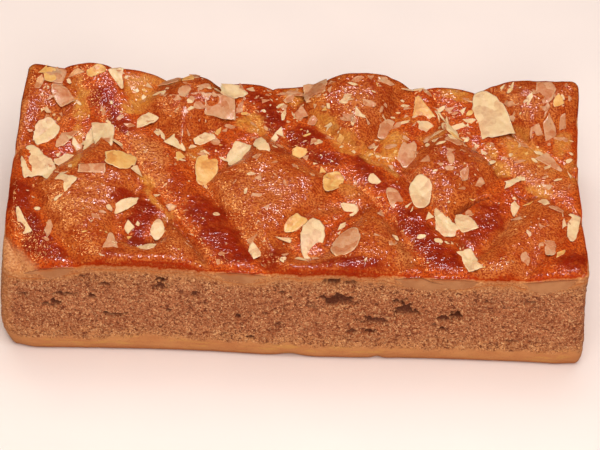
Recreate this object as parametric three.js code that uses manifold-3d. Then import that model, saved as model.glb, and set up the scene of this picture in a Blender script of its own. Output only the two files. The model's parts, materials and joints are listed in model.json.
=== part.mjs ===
// Speculoos cake: a rectangular bar of brown spiced crumb, cut on its four sides, with a baked top.
// Strips of almond paste were piped over the batter in a slanting lattice. The crumb rose between
// them in puffed diamonds, and flaked almonds lie scattered over the glazed top.
// Millimetres, +Z up. Origin: middle of the flat underside. The front cut faces -Y.

import * as THREE from 'three';
import { mergeVertices } from 'three/addons/utils/BufferGeometryUtils.js';
import Module from 'manifold-3d';

const wasm = await Module();
wasm.setup();

// Driving dimensions of the bar
const LENGTH = 249;
const DEPTH = 125;
const FRONT_RIM = 50.6;
const BACK_RIM = 47.6;
const PUFF_FRONT = 4.2;
const PUFF_BACK = 8.8;
const PUFF_SLOPE = 15;
const BASE_ROUND = 3.2;
const BASE_ROUND_HEIGHT = 0.14;
const FLARE_LEFT = 0.8;
const FLARE_RIGHT = 2.2;
const FLARE_FRONT = 2.4;
const WALL_WAVE = 0.7;
const WALL_WAVE_RUN = 21;
const RIM_WAVE = 0.5;
const RIM_WAVE_RUN = 19;
const LEFT_BULGE = 2.3;
const BELLY = 2.2;
const RIGHT_WAVE = 0.9;
const RIGHT_WAVE_RUN = 19;

// Where the whole top swells or sinks: x, y, reach and height
const SWELLS = [
  [-93, 72, 31, 9],
  [-50, 68, 13, -4],
  [-8, 67, 11, -3],
  [62, 70, 18, 2],
  [-128, -66, 20, -5],
  [126, -64, 17, 5],
];

// Segments of the block, along its length, depth and height
const BLOCK_SEGMENTS = [33, 16, 4];
const ROW_SHARES = [0, 0.04, 0.14, 0.5, 1];

// Almond-paste strips: lens-shaped in section, the upper ones laid across the lower ones
const STRIP_WIDTH = 21;
const STRIP_CROWN = 1.3;
const UPPER_DEPTH = 7.2;
const LOWER_DEPTH = 10.5;
const STRIP_STEPS = 8;
const LENS_POINTS = 5;
const GAP = 0.3;
const OVERRUN = 14;

// Flaked almonds
const FLAKE_THICKNESS = 1.1;
const FLAKE_STATIONS = 5;
const FLAKE_GAP = 0.45;
const SAMPLE_SPACING = 1.7;
const SMALLEST_FOOTING = 9;

// Centre lines of the strips in plan. They run from cut edge to cut edge, but two of the lower ones
// end short of the front cut, where the crumb has closed over them.
const UPPER_STRIPS = {
  upper_strip_1: [[-133, 6], [-127, -10], [-119, -30], [-110, -50], [-98, -76]],
  upper_strip_2: [[-104, 76], [-90, 47], [-62, 8], [-40, -32], [-15, -76]],
  upper_strip_3: [[-34, 76], [-12, 40], [15, 12], [36, -3], [54, -33], [74, -76]],
  upper_strip_4: [[60, 76], [82, 34], [103, 11], [136, -20]],
};
const LOWER_STRIPS = {
  lower_strip_1: [[-136, -20], [-110, 12], [-85, 45], [-62, 76]],
  lower_strip_2: [[-71, -49], [-66, -33], [-52, -5], [-25, 32], [3, 76]],
  lower_strip_3: [[0, -52], [8, -38], [28, -4], [47, 30], [66, 76]],
  lower_strip_4: [[44, -76], [70, -42], [101, 5], [138, 42]],
  lower_strip_5: [[100, -76], [117, -50], [137, -22]],
};

const COLOURS = {
  crumb: 0xa8734a,
  paste: 0x9c4316,
  pale: 0xecd2a8,
  golden: 0xe0a552,
  glazed: 0xc98a5c,
};

// Each flake: name ending, x, y, width, length, turn in degrees, kind, colour
const FLAKES = [
  ['01', -118, 3, 11, 22, -71, 'half', 'pale'],
  ['02', -111, -3, 8, 20, -67, 'whole', 'pale'],
  ['03', -105, -18, 10, 18, 57, 'half', 'pale'],
  ['04', -104, 4, 8, 10, 20, 'shard', 'pale'],
  ['05', -114, 21, 11, 18, -100, 'whole', 'pale'],
  ['06', -105, 18, 8, 13, 40, 'shard', 'glazed'],
  ['07', -94, 13, 4.5, 25, -92, 'whole', 'pale'],
  ['08', -88, 19, 9.5, 21, 103, 'half', 'pale'],
  ['09', -79, 2, 13, 16, 30, 'whole', 'golden'],
  ['10', -91, -6, 6, 12, 5, 'oblong', 'glazed'],
  ['11', -73, -25, 9, 16, 47, 'moon', 'pale'],
  ['12', -119, -37, 7, 16, 110, 'wedge', 'pale'],
  ['13', -79, -52, 10, 16, 90, 'wedge', 'glazed'],
  ['14', -60, -39, 6, 13, 85, 'whole', 'pale'],
  ['15', -84, 54, 8, 12, -65, 'wedge', 'pale'],
  ['16', -94, 57, 8, 9, 10, 'shard', 'golden'],
  ['17', -115, 54, 9, 10, 75, 'shard', 'golden'],
  ['18', -109, 43, 9, 12, -45, 'half', 'glazed'],
  ['19', -37, 41, 13, 14, 3, 'oblong', 'glazed'],
  ['20', -31, 55, 10, 13, 175, 'half', 'pale'],
  ['21', -70, 31, 7, 13, 50, 'half', 'pale'],
  ['22', -55, 17, 8, 11, -50, 'wedge', 'pale'],
  ['23', -43, 22, 9, 10, 15, 'shard', 'pale'],
  ['24', -41, 1, 10, 24, -88, 'whole', 'golden'],
  ['25', -28, 12, 8, 16, 75, 'half', 'pale'],
  ['26', -17, 15, 8, 13, 95, 'shard', 'pale'],
  ['27', 6, 53, 12, 16, 90, 'oblong', 'glazed'],
  ['28', 15, -5, 9, 15, -105, 'whole', 'golden'],
  ['29', 7, -43, 10, 25, -90, 'whole', 'pale'],
  ['30', 22, -46, 12, 20, 65, 'whole', 'glazed'],
  ['31', -1, -33, 7, 12, 50, 'half', 'golden'],
  ['32', 42, -14, 6, 14, -68, 'half', 'glazed'],
  ['33', 54, -11, 10, 21, -95, 'whole', 'pale'],
  ['34', 64, -28, 14, 19, 105, 'wedge', 'pale'],
  ['35', 73, -28, 8, 13, -60, 'half', 'pale'],
  ['36', 75, -52, 8, 14, -62, 'oblong', 'pale'],
  ['37', 48, 17, 8, 21, 78, 'whole', 'glazed'],
  ['38', 54, 47, 12, 15, 100, 'wedge', 'golden'],
  ['39', 38, 32, 8, 14, 55, 'shard', 'glazed'],
  ['40', 67, 31, 8, 11, 115, 'shard', 'pale'],
  ['41', 85, 44, 15, 32, -70, 'half', 'pale'],
  ['42', 110, 54, 14, 14, 40, 'shard', 'glazed'],
  ['43', 112, 13, 9, 14, -55, 'wedge', 'glazed'],
  ['44', 120, -30, 5, 18, 88, 'half', 'pale'],
  ['45', -64, -52, 7, 10, 10, 'shard', 'pale'],
  ['46', 110, -44, 7, 9, 70, 'shard', 'glazed'],
];

const smooth = (t) => {
  const share = Math.min(1, Math.max(0, t));
  return share * share * (3 - 2 * share);
};
const mix = (a, b, t) => a + (b - a) * t;

function swellHeight(x, y) {
  return SWELLS.reduce((sum, [cx, cy, reach, height]) => (
    sum + height * Math.exp(-((x - cx) ** 2 + (y - cy) ** 2) / reach ** 2)), 0);
}

// Height of the paste along the valleys: lower at the back, as the lattice sank further there
function valleyHeight(x, y) {
  const slope = mix(FRONT_RIM, BACK_RIM, smooth((y + DEPTH / 2) / DEPTH));
  return slope + RIM_WAVE * Math.sin(x / RIM_WAVE_RUN) + swellHeight(x, y);
}

function stripCurve(points) {
  const path = points.map(([x, y]) => new THREE.Vector3(x, y, valleyHeight(x, y)));
  return new THREE.CatmullRomCurve3(path);
}

const allPaths = [...Object.values(UPPER_STRIPS), ...Object.values(LOWER_STRIPS)];
const laneSamples = allPaths.flatMap((points) => stripCurve(points).getPoints(90));

function distanceToStrip(x, y) {
  let nearest = Infinity;
  for (const sample of laneSamples) {
    nearest = Math.min(nearest, (sample.x - x) ** 2 + (sample.y - y) ** 2);
  }
  return Math.sqrt(nearest);
}

// Height of the baked top: the paste's valleys, and the crumb puffed up between them. The puffs are
// lower where the whole top has swollen.
function topHeight(x, y) {
  const rise = smooth((distanceToStrip(x, y) - STRIP_WIDTH / 2) / PUFF_SLOPE);
  const puff = mix(PUFF_FRONT, PUFF_BACK, smooth((y + 20) / 80)) - Math.max(0, swellHeight(x, y));
  return valleyHeight(x, y) + Math.max(1, puff) * rise;
}

// Sideways shape of the cut walls at a height share: rounded in at the base, flared, slightly wavy,
// and bellied out at the left end of the front
function wallShape(x, y, share) {
  const along = x / (LENGTH / 2);
  const across = y / (DEPTH / 2);
  const inset = BASE_ROUND * (1 - Math.sqrt(1 - (1 - Math.min(1, share / BASE_ROUND_HEIGHT)) ** 2));
  const flare = (along > 0 ? FLARE_RIGHT : FLARE_LEFT) * (1 - share) ** 2;
  const frontFlare = across < 0 ? FLARE_FRONT * (1 - share) ** 2 : 0;
  const wave = WALL_WAVE * Math.sin(x / WALL_WAVE_RUN + 1.2);
  const belly = BELLY * Math.sin(Math.PI * share) * smooth((-y - 20) / 40);
  const bulge = LEFT_BULGE * Math.cos((y - 5) / 45) + belly;
  const endWave = along > 0 ? RIGHT_WAVE * Math.sin(y / RIGHT_WAVE_RUN + 4.4) : bulge;
  return [x + along * (flare - inset + endWave), y + across * (frontFlare - inset + wave)];
}

function toManifold(geometry) {
  const bare = geometry.clone();
  bare.deleteAttribute('normal');
  bare.deleteAttribute('uv');
  const merged = mergeVertices(bare, 1e-4);
  return new wasm.Manifold(new wasm.Mesh({
    numProp: 3,
    vertProperties: new Float32Array(merged.attributes.position.array),
    triVerts: new Uint32Array(merged.index.array),
  }));
}

function toGeometry(solid) {
  const mesh = solid.getMesh();
  const geometry = new THREE.BufferGeometry();
  geometry.setAttribute('position', new THREE.BufferAttribute(mesh.vertProperties, 3));
  geometry.setIndex(new THREE.BufferAttribute(mesh.triVerts, 1));
  geometry.computeVertexNormals();
  return geometry;
}

// A block between the cut walls, up to the height that heightAt gives for each place
function blockGeometry(heightAt) {
  const [alongCount, acrossCount, rowCount] = BLOCK_SEGMENTS;
  const geometry = new THREE.BoxGeometry(LENGTH, DEPTH, 1, alongCount, acrossCount, rowCount);
  const position = geometry.attributes.position;
  for (let i = 0; i < position.count; i += 1) {
    const x = position.getX(i);
    const y = position.getY(i);
    const share = ROW_SHARES[Math.round((position.getZ(i) + 0.5) * rowCount)];
    const [wallX, wallY] = wallShape(x, y, share);
    position.setXYZ(i, wallX, wallY, share * heightAt(x, y));
  }
  return geometry;
}

// Section of a strip, x pointing down: a shallow crown over a deeper rounded keel
function lensSection(depth) {
  const half = STRIP_WIDTH / 2;
  const section = [];
  for (let i = 0; i <= LENS_POINTS; i += 1) {
    const angle = Math.PI * i / LENS_POINTS;
    section.push(new THREE.Vector2(depth * Math.sin(angle), -half * Math.cos(angle)));
  }
  section.push(new THREE.Vector2(-STRIP_CROWN * 0.8, half * 0.5));
  section.push(new THREE.Vector2(-STRIP_CROWN, 0));
  section.push(new THREE.Vector2(-STRIP_CROWN * 0.8, -half * 0.5));
  return section;
}

// Section of the trough that a strip lies in: the same keel with a gap round it, open above
function troughSection(depth) {
  const half = STRIP_WIDTH / 2 + GAP;
  const section = [];
  for (let i = 0; i <= LENS_POINTS; i += 1) {
    const angle = Math.PI * i / LENS_POINTS;
    section.push(new THREE.Vector2(GAP + depth * Math.sin(angle), -half * Math.cos(angle)));
  }
  section.push(new THREE.Vector2(-OVERRUN, half));
  section.push(new THREE.Vector2(-OVERRUN, -half));
  return section;
}

function sweep(section, points) {
  const shape = new THREE.Shape(section);
  const extrudePath = stripCurve(points);
  return toManifold(new THREE.ExtrudeGeometry(shape, { steps: STRIP_STEPS, extrudePath }));
}

const cake = new THREE.Group();

function addMesh(name, geometry, colour, roughness) {
  const material = new THREE.MeshStandardMaterial({ color: colour, roughness, metalness: 0 });
  const mesh = new THREE.Mesh(geometry, material);
  mesh.name = name;
  cake.add(mesh);
  return mesh;
}

// Strips, trimmed flush with the cut walls; the lower ones are pressed in where the upper ones cross
const envelope = toManifold(blockGeometry((x, y) => topHeight(x, y) + OVERRUN));
const upperTroughs = Object.values(UPPER_STRIPS).map((path) => sweep(troughSection(UPPER_DEPTH), path));
const lowerTroughs = Object.values(LOWER_STRIPS).map((path) => sweep(troughSection(LOWER_DEPTH), path));
const ground = [];

for (const [name, path] of Object.entries(UPPER_STRIPS)) {
  const strip = sweep(lensSection(UPPER_DEPTH), path).intersect(envelope);
  ground.push(addMesh(name, toGeometry(strip), COLOURS.paste, 0.35));
}
for (const [name, path] of Object.entries(LOWER_STRIPS)) {
  let strip = sweep(lensSection(LOWER_DEPTH), path).intersect(envelope);
  upperTroughs.forEach((trough) => { strip = strip.subtract(trough); });
  ground.push(addMesh(name, toGeometry(strip), COLOURS.paste, 0.4));
}

// Crumb: the whole bar with the troughs of the lattice in its top
let crumb = toManifold(blockGeometry(topHeight));
[...upperTroughs, ...lowerTroughs].forEach((trough) => { crumb = crumb.subtract(trough); });
ground.push(addMesh('cake_crumb', toGeometry(crumb), COLOURS.crumb, 0.9));

// Half widths of a flake along its length, for s from -1 to 1, as shares of its half width
const FLAKE_SIDES = {
  whole: (s) => [almondShare(s), almondShare(s)],
  half: (s) => [almondShare(mix(-1, 0.35, (s + 1) / 2)), almondShare(mix(-1, 0.15, (s + 1) / 2))],
  moon: (s) => [almondShare(s), 0.25 - 0.2 * Math.abs(s)],
  oblong: (s) => [0.95 - 0.12 * s * s, 0.9 + 0.06 * s],
  wedge: (s) => [mix(1, 0.12, (s + 1) / 2), mix(0.85, 0.1, (s + 1) / 2)],
  shard: (s) => [1 - 0.75 * Math.abs(s - 0.3), 0.95 - 0.6 * Math.abs(s + 0.4)],
};

function almondShare(s) {
  return Math.max(0.16, (1 - Math.abs(s) ** 2.3) ** 0.62 * (1 - 0.22 * s));
}

function flakeGeometry(width, length, kind, bow) {
  const geometry = new THREE.BoxGeometry(length, width, FLAKE_THICKNESS, FLAKE_STATIONS, 1, 1);
  const position = geometry.attributes.position;
  for (let i = 0; i < position.count; i += 1) {
    const s = position.getX(i) / (length / 2);
    const [left, right] = FLAKE_SIDES[kind](s);
    const y = (position.getY(i) > 0 ? left : -right) * width / 2;
    const lift = bow * (1 - s * s);
    position.setXYZ(i, position.getX(i), y, position.getZ(i) + FLAKE_THICKNESS / 2 + lift);
  }
  geometry.computeVertexNormals();
  return geometry;
}

// The plane that a flake rests in: of all the triples of samples that stand round its middle, the one
// that holds the middle highest, lifted until no other sample pokes through
function restingPlane(samples) {
  let best = { height: -Infinity, slopeX: 0, slopeY: 0 };
  for (let i = 0; i < samples.length; i += 1) {
    for (let j = i + 1; j < samples.length; j += 1) {
      for (let k = j + 1; k < samples.length; k += 1) {
        const plane = planeThrough(samples[i], samples[j], samples[k]);
        if (plane && plane.height > best.height) {
          best = plane;
        }
      }
    }
  }
  const levels = samples.map(({ x, y, h }) => h - best.slopeX * x - best.slopeY * y);
  return { ...best, height: Math.max(...levels) };
}

function planeThrough(a, b, c) {
  const area = (b.x - a.x) * (c.y - a.y) - (c.x - a.x) * (b.y - a.y);
  if (Math.abs(area) < SMALLEST_FOOTING) {
    return null;
  }
  const shareA = (b.x * c.y - c.x * b.y) / area;
  const shareB = (c.x * a.y - a.x * c.y) / area;
  const shareC = 1 - shareA - shareB;
  if (Math.min(shareA, shareB, shareC) < 0) {
    return null;
  }
  const slopeX = ((b.h - a.h) * (c.y - a.y) - (c.h - a.h) * (b.y - a.y)) / area;
  const slopeY = ((b.x - a.x) * (c.h - a.h) - (c.x - a.x) * (b.h - a.h)) / area;
  return { height: shareA * a.h + shareB * b.h + shareC * c.h, slopeX, slopeY };
}

const caster = new THREE.Raycaster();
const DOWN = new THREE.Vector3(0, 0, -1);

function groundHeight(x, y) {
  caster.set(new THREE.Vector3(x, y, 90), DOWN);
  const hits = caster.intersectObjects(ground, false);
  return hits.length ? hits[0].point.z : 0;
}

// Places under a flake where its height is tested, round the middle of the flake
function samplesUnder(x, y, width, length, turn, kind, bow) {
  const samples = [];
  const rows = Math.ceil(length / SAMPLE_SPACING);
  for (let row = 0; row <= rows; row += 1) {
    const s = mix(-1, 1, row / rows);
    const [left, right] = FLAKE_SIDES[kind](s);
    const columns = Math.max(2, Math.ceil((left + right) * width / 2 / SAMPLE_SPACING));
    for (let column = 0; column <= columns; column += 1) {
      const u = s * length / 2;
      const v = mix(-right, left, column / columns) * width / 2;
      const offsetX = u * Math.cos(turn) - v * Math.sin(turn);
      const offsetY = u * Math.sin(turn) + v * Math.cos(turn);
      const h = groundHeight(x + offsetX, y + offsetY) - bow * (1 - s * s);
      samples.push({ x: offsetX, y: offsetY, h });
    }
  }
  return samples;
}

// Flaked almonds, laid one after the other on the top and on each other
FLAKES.forEach(([ending, x, y, width, length, degrees, kind, colour], index) => {
  const turn = THREE.MathUtils.degToRad(degrees);
  const bow = 0.5 * Math.sin(index * 2.4);
  const plane = restingPlane(samplesUnder(x, y, width, length, turn, kind, bow));
  const geometry = flakeGeometry(width, length, kind, bow);
  const mesh = addMesh(`almond_flake_${ending}`, geometry, COLOURS[colour], 0.5);
  const up = new THREE.Vector3(-plane.slopeX, -plane.slopeY, 1).normalize();
  const tilt = new THREE.Quaternion().setFromUnitVectors(new THREE.Vector3(0, 0, 1), up);
  const spin = new THREE.Quaternion().setFromAxisAngle(new THREE.Vector3(0, 0, 1), turn);
  mesh.quaternion.copy(tilt.multiply(spin));
  mesh.position.set(x, y, plane.height + FLAKE_GAP);
  mesh.updateMatrixWorld(true);
  ground.push(mesh);
});

export default cake;
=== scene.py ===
import itertools
import json
import math

import bpy
import numpy as np
from mathutils import Matrix, Vector


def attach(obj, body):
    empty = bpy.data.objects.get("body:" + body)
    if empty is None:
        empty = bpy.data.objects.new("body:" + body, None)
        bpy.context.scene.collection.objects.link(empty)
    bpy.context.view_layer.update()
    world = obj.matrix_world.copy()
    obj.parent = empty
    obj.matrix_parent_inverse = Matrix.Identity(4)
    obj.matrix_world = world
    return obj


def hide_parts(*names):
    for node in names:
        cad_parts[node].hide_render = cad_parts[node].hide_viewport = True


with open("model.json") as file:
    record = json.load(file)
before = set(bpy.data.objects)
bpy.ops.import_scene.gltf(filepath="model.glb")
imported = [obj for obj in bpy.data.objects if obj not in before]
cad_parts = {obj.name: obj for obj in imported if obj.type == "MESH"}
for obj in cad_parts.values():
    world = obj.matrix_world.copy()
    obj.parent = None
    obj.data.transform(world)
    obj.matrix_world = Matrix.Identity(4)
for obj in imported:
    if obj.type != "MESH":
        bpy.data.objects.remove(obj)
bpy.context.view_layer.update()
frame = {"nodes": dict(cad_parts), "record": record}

# ---------------------------------------------------------------------------------------------
# The crumb
# An open brown crumb, dark with spice and brown sugar, baked in a tray and cut clean on all four
# sides. The knife opened its bubbles. The lowest few millimetres are a smooth skin from the tray.
# ---------------------------------------------------------------------------------------------
MM = 0.001
HALF_LENGTH = 124.5
HALF_DEPTH = 62.5
CORNER_RADIUS = 4.0

# The cut walls: flared to the base, bulged at the left end, wavy all round
WALL_WAVE = 0.7
WALL_WAVE_RUN = 21
FLARE_LEFT = 0.8
FLARE_RIGHT = 2.2
FLARE_FRONT = 2.4
LEFT_BULGE = 2.3
LEFT_BULGE_RUN = 45
BELLY = 2.2
RIGHT_WAVE = 0.9
RIGHT_WAVE_RUN = 19

# The top: valleys where the paste lies, crumb puffed up between them
FRONT_RIM = 50.6
BACK_RIM = 47.6
RIM_WAVE = 0.5
RIM_WAVE_RUN = 19
PUFF_FRONT = 4.4
PUFF_BACK = 9.0
PUFF_FROM = -20
PUFF_RUN = 80
PUFF_SLOPE = 15.0
UNDER_PASTE = 1.4
ROLL_WIDTH = 4.0
ROLL_DROP = 2.7
CRUST_THICKNESS = 2.6
CRUST_HANG = 2.9

# Wide swells and hollows of the whole top: x, y, reach, height
SWELLS = [
    (-93, 72, 31, 9.0), (-50, 68, 13, -4.0), (-8, 67, 11, -3.0),
    (62, 70, 18, 2.0), (-128, -66, 20, -5.0), (126, -64, 17, 5.0),
]

# The paste strips' centre lines in plan, the upper set laid across the lower one
HALF_STRIP = 10.5
STRIP_CROWN = 1.5
UPPER_LANES = {
    "upper_strip_1": [(-133, 6), (-127, -10), (-119, -30), (-110, -50), (-98, -76)],
    "upper_strip_2": [(-104, 76), (-90, 47), (-62, 8), (-40, -32), (-15, -76)],
    "upper_strip_3": [(-34, 76), (-12, 40), (15, 12), (36, -3), (54, -33), (74, -76)],
    "upper_strip_4": [(60, 76), (82, 34), (103, 11), (136, -20)],
}
LOWER_LANES = {
    "lower_strip_1": [(-136, -20), (-110, 12), (-85, 45), (-62, 76)],
    "lower_strip_2": [(-71, -49), (-66, -33), (-52, -5), (-25, 32), (3, 76)],
    "lower_strip_3": [(0, -52), (8, -38), (28, -4), (47, 30), (66, 76)],
    "lower_strip_4": [(44, -76), (70, -42), (101, 5), (138, 42)],
    "lower_strip_5": [(100, -76), (117, -50), (137, -22)],
}
LANES = {**UPPER_LANES, **LOWER_LANES}

# Folds and cracks where a puff meets a strip, dented in and darkened with painted shade: points, half
# width, depth
FOLDS = [
    ([(70, -21), (75, -16), (80, -12), (84, -11)], 0.9, 3.2),
    ([(13, -45), (15, -38), (21, -29), (27, -24), (31, -19)], 1.1, 1.3),
    ([(30, -20), (18, -22), (6, -25), (-2, -28)], 2.4, 0.9),
    ([(39, -28), (42, -37), (46, -46), (50, -56)], 2.0, 1.0),
    ([(79, -51), (84, -42), (88, -34), (91, -27), (95, -22)], 1.4, 0.8),
    ([(58, -31), (66, -38), (73, -45), (79, -51)], 1.8, 0.8),
    ([(-46, -10), (-37, -20), (-29, -34), (-21, -49)], 1.6, 0.5),
    ([(-59, -31), (-52, -37), (-44, -47), (-39, -57)], 1.8, 1.1),
    ([(-74, -44), (-67, -48), (-58, -46)], 1.8, 1.3),
    ([(97, -9), (101, -10), (106, -9)], 0.9, 1.4),
    ([(32, 21), (36, 25)], 1.2, 1.0),
    ([(14, 29), (19, 24), (26, 19)], 1.2, 0.9),
    ([(-5, 15), (4, 11), (12, 7)], 1.0, 1.2),
    ([(-9, 24), (-5, 20), (0, 17)], 1.0, 1.2),
    ([(84, 20), (88, 12), (89, 5)], 1.6, 1.0),
    ([(93, 38), (97, 34), (101, 30)], 1.6, 1.0),
    ([(43, 6), (48, 3)], 1.0, 1.0),
]


def smooth(share):
    """A soft step from 0 to 1"""
    share = np.clip(share, 0.0, 1.0)
    return share * share * (3 - 2 * share)


def grain(places, pitch, seed):
    """Smooth unevenness between -1 and 1, with bumps about a pitch apart"""
    cells = np.asarray(places, float) / pitch + seed * 31.7
    low = np.floor(cells).astype(np.int64)
    share = cells - low
    share = share * share * (3 - 2 * share)
    axes = cells.shape[-1]
    total = np.zeros(cells.shape[:-1])
    for corner in range(2 ** axes):
        step = np.array([(corner >> axis) & 1 for axis in range(axes)])
        key = (low + step) @ np.array([73856093, 19349663, 83492791])[:axes] + seed * 7919
        key = ((key ^ (key >> 15)) * 2246822519) & 0xFFFFFFFF
        key = ((key ^ (key >> 13)) * 3266489917) & 0xFFFFFFFF
        value = ((key ^ (key >> 16)) & 0xFFFF) / 32767.5 - 1
        total += value * np.prod(np.where(step, share, 1 - share), axis=-1)
    return total


def curve_through(points, count):
    """A smooth line through the points: x, y and the way it heads"""
    p = np.array([points[0], *points, points[-1]], float)
    p[0] = 2 * p[1] - p[2]
    p[-1] = 2 * p[-2] - p[-3]
    at = np.linspace(0, len(points) - 1 - 1e-9, count)
    i = at.astype(int)
    t = (at - i)[:, None]
    a, b, c, d = p[i], p[i + 1], p[i + 2], p[i + 3]
    place = 2 * b + (c - a) * t + (2 * a - 5 * b + 4 * c - d) * t ** 2 + (3 * b - a - 3 * c + d) * t ** 3
    place = 0.5 * place
    heading = np.gradient(place, axis=0)
    return np.column_stack([place, np.arctan2(heading[:, 1], heading[:, 0])])


def run_along(x, y):
    """Distance walked along a line of places"""
    return np.concatenate([[0], np.cumsum(np.hypot(np.diff(x), np.diff(y)))])


def edge_distance(x, y):
    """How far a place lies inside the plain outline"""
    past_x = np.abs(x) - (HALF_LENGTH - CORNER_RADIUS)
    past_y = np.abs(y) - (HALF_DEPTH - CORNER_RADIUS)
    outside = np.hypot(np.maximum(past_x, 0), np.maximum(past_y, 0))
    return CORNER_RADIUS - outside - np.minimum(np.maximum(past_x, past_y), 0)


class Chart:
    """A map of one quantity over the top, worked out once and read off at any place"""
    STEP = 0.5
    X = np.arange(-130, 130.01, STEP)
    Y = np.arange(-68, 68.01, STEP)

    def __init__(self, values):
        self.values = values

    def __call__(self, x, y):
        column = np.clip((np.asarray(x) - self.X[0]) / self.STEP, 0, len(self.X) - 1.001)
        row = np.clip((np.asarray(y) - self.Y[0]) / self.STEP, 0, len(self.Y) - 1.001)
        i, j = row.astype(int), column.astype(int)
        u, v = row - i, column - j
        near = self.values[i, j] * (1 - v) + self.values[i, j + 1] * v
        far = self.values[i + 1, j] * (1 - v) + self.values[i + 1, j + 1] * v
        return near * (1 - u) + far * u


chart_x, chart_y = np.meshgrid(Chart.X, Chart.Y)


def distance_chart(line):
    """Distance from a line at every place of the chart"""
    places = np.column_stack([chart_x.ravel(), chart_y.ravel()])
    nearest = np.empty(len(places))
    for start in range(0, len(places), 8000):
        gap = places[start:start + 8000, None, :] - line[None, :, :2]
        nearest[start:start + 8000] = np.sqrt((gap ** 2).sum(-1).min(1))
    return nearest.reshape(chart_x.shape)


def lane_line(points):
    """A strip's centre line, without the first half width where it ends in a rounded nose"""
    line = curve_through(points, 140)
    if edge_distance(*points[0]) > 0:
        line = line[run_along(line[:, 0], line[:, 1]) > HALF_STRIP]
    return line


lane_distance = {name: Chart(distance_chart(lane_line(points))) for name, points in LANES.items()}
upper_distance = Chart(np.min([lane_distance[name].values for name in UPPER_LANES], axis=0))
lower_distance = Chart(np.min([lane_distance[name].values for name in LOWER_LANES], axis=0))
fold_depth = Chart(np.zeros(chart_x.shape))
fold_shade = Chart(np.zeros(chart_x.shape))
for points, half_width, depth in FOLDS:
    away = distance_chart(curve_through(points, 40))
    fold_depth.values = np.maximum(fold_depth.values, depth * np.exp(-(away / half_width) ** 2))
    # Painted shade along each fold, a little wider than its dent
    painted_shade = min(1.0, depth / 2) * np.exp(-(away / (half_width * 1.3)) ** 2)
    fold_shade.values = np.maximum(fold_shade.values, painted_shade)


def swell_height(x, y):
    return sum(height * np.exp(-((x - cx) ** 2 + (y - cy) ** 2) / reach ** 2)
               for cx, cy, reach, height in SWELLS)


def valley_height(x, y):
    """Height of the top along the strips, without their own crown"""
    sink = smooth((y + HALF_DEPTH) / (2 * HALF_DEPTH))
    level = FRONT_RIM + (BACK_RIM - FRONT_RIM) * sink
    return level + RIM_WAVE * np.sin(x / RIM_WAVE_RUN) + swell_height(x, y)


def roll_off(x, y):
    """How far the top rolls down at the cut edges"""
    inward = 1 - np.clip(edge_distance(x, y) / ROLL_WIDTH, 0, 1)
    return ROLL_DROP * (1 - np.sqrt(1 - 0.96 * inward ** 2))


def crust_height(x, y):
    """Height of the baked crumb's own top, which dips under the strips"""
    places = np.stack([x, y], axis=-1)
    wander = 0.9 * grain(places, 9, 3) + 0.4 * grain(places, 4, 4)
    strip = np.minimum(upper_distance(x, y), lower_distance(x, y))
    rise = 1 - (1 - np.clip((strip + wander - HALF_STRIP) / PUFF_SLOPE, 0, 1)) ** 2.1
    puff = PUFF_FRONT + (PUFF_BACK - PUFF_FRONT) * smooth((y - PUFF_FROM) / PUFF_RUN)
    puff = puff - np.maximum(0, swell_height(x, y))
    under = UNDER_PASTE * (1 - np.clip(strip / HALF_STRIP, 0, 1) ** 2)
    uneven = 0.5 * grain(places, 12, 5) * rise + 0.22 * grain(places, 4.5, 8)
    fine = 0.10 * grain(places, 2.4, 6) + 0.05 * grain(places, 1.5, 7)
    height = valley_height(x, y) + np.maximum(1, puff) * rise - under + uneven + fine
    return height - fold_depth(x, y) - roll_off(x, y)


def glaze_end(x, y):
    """Height at which the glaze ends on the cut walls: level, whatever the puffs above it do"""
    places = np.stack([x, y], axis=-1)
    return valley_height(x, y) - CRUST_HANG + 0.5 * grain(places, 6, 35) + 0.4 * grain(places, 1.8, 34)


def crust_end(x, y):
    """Height at which the crust ends on the cut walls, also behind the cut strips"""
    return np.minimum(crust_height(x, y) - CRUST_THICKNESS, glaze_end(x, y))


def wall_place(x, y, z):
    """Where a place of the plain outline lies at a height: flared, bulged, bellied and wavy"""
    share = np.clip(z / FRONT_RIM, 0, 1)
    along = x / HALF_LENGTH
    across = y / HALF_DEPTH
    flare = np.where(along > 0, FLARE_RIGHT, FLARE_LEFT) * (1 - share) ** 2
    front_flare = np.where(across < 0, FLARE_FRONT * (1 - share) ** 2, 0)
    belly = BELLY * np.sin(math.pi * share) * smooth((-y - 20) / 40)
    left = LEFT_BULGE * np.cos((y - 5) / LEFT_BULGE_RUN) + belly
    end_wave = np.where(along > 0, RIGHT_WAVE * np.sin(y / RIGHT_WAVE_RUN + 4.4), left)
    side_wave = WALL_WAVE * np.sin(x / WALL_WAVE_RUN + 1.2)
    return x + along * (flare + end_wave), y + across * (front_flare + side_wave)


def wall_unevenness(x, y, z):
    """How far the cut wanders in and out, the same for crumb, crust and paste"""
    places = np.stack(np.broadcast_arrays(x, y, z), axis=-1)
    return 0.40 * grain(places, 14, 26) + 0.16 * grain(places, 5, 27)


def add_piece(name, places, faces, looks=None, soft=True):
    """A mesh from places in millimetres, with a number per point for each named look"""
    mesh = bpy.data.meshes.new(name)
    mesh.from_pydata((np.asarray(places) * MM).tolist(), [], [list(map(int, face)) for face in faces])
    for look, values in (looks or {}).items():
        numbers = mesh.attributes.new(look, "FLOAT", "POINT").data
        numbers.foreach_set("value", np.asarray(values, np.float32).ravel())
    mesh.polygons.foreach_set("use_smooth", [soft and len(face) < 9 for face in faces])
    piece = bpy.data.objects.new(name, mesh)
    bpy.context.scene.collection.objects.link(piece)
    return piece


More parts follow.
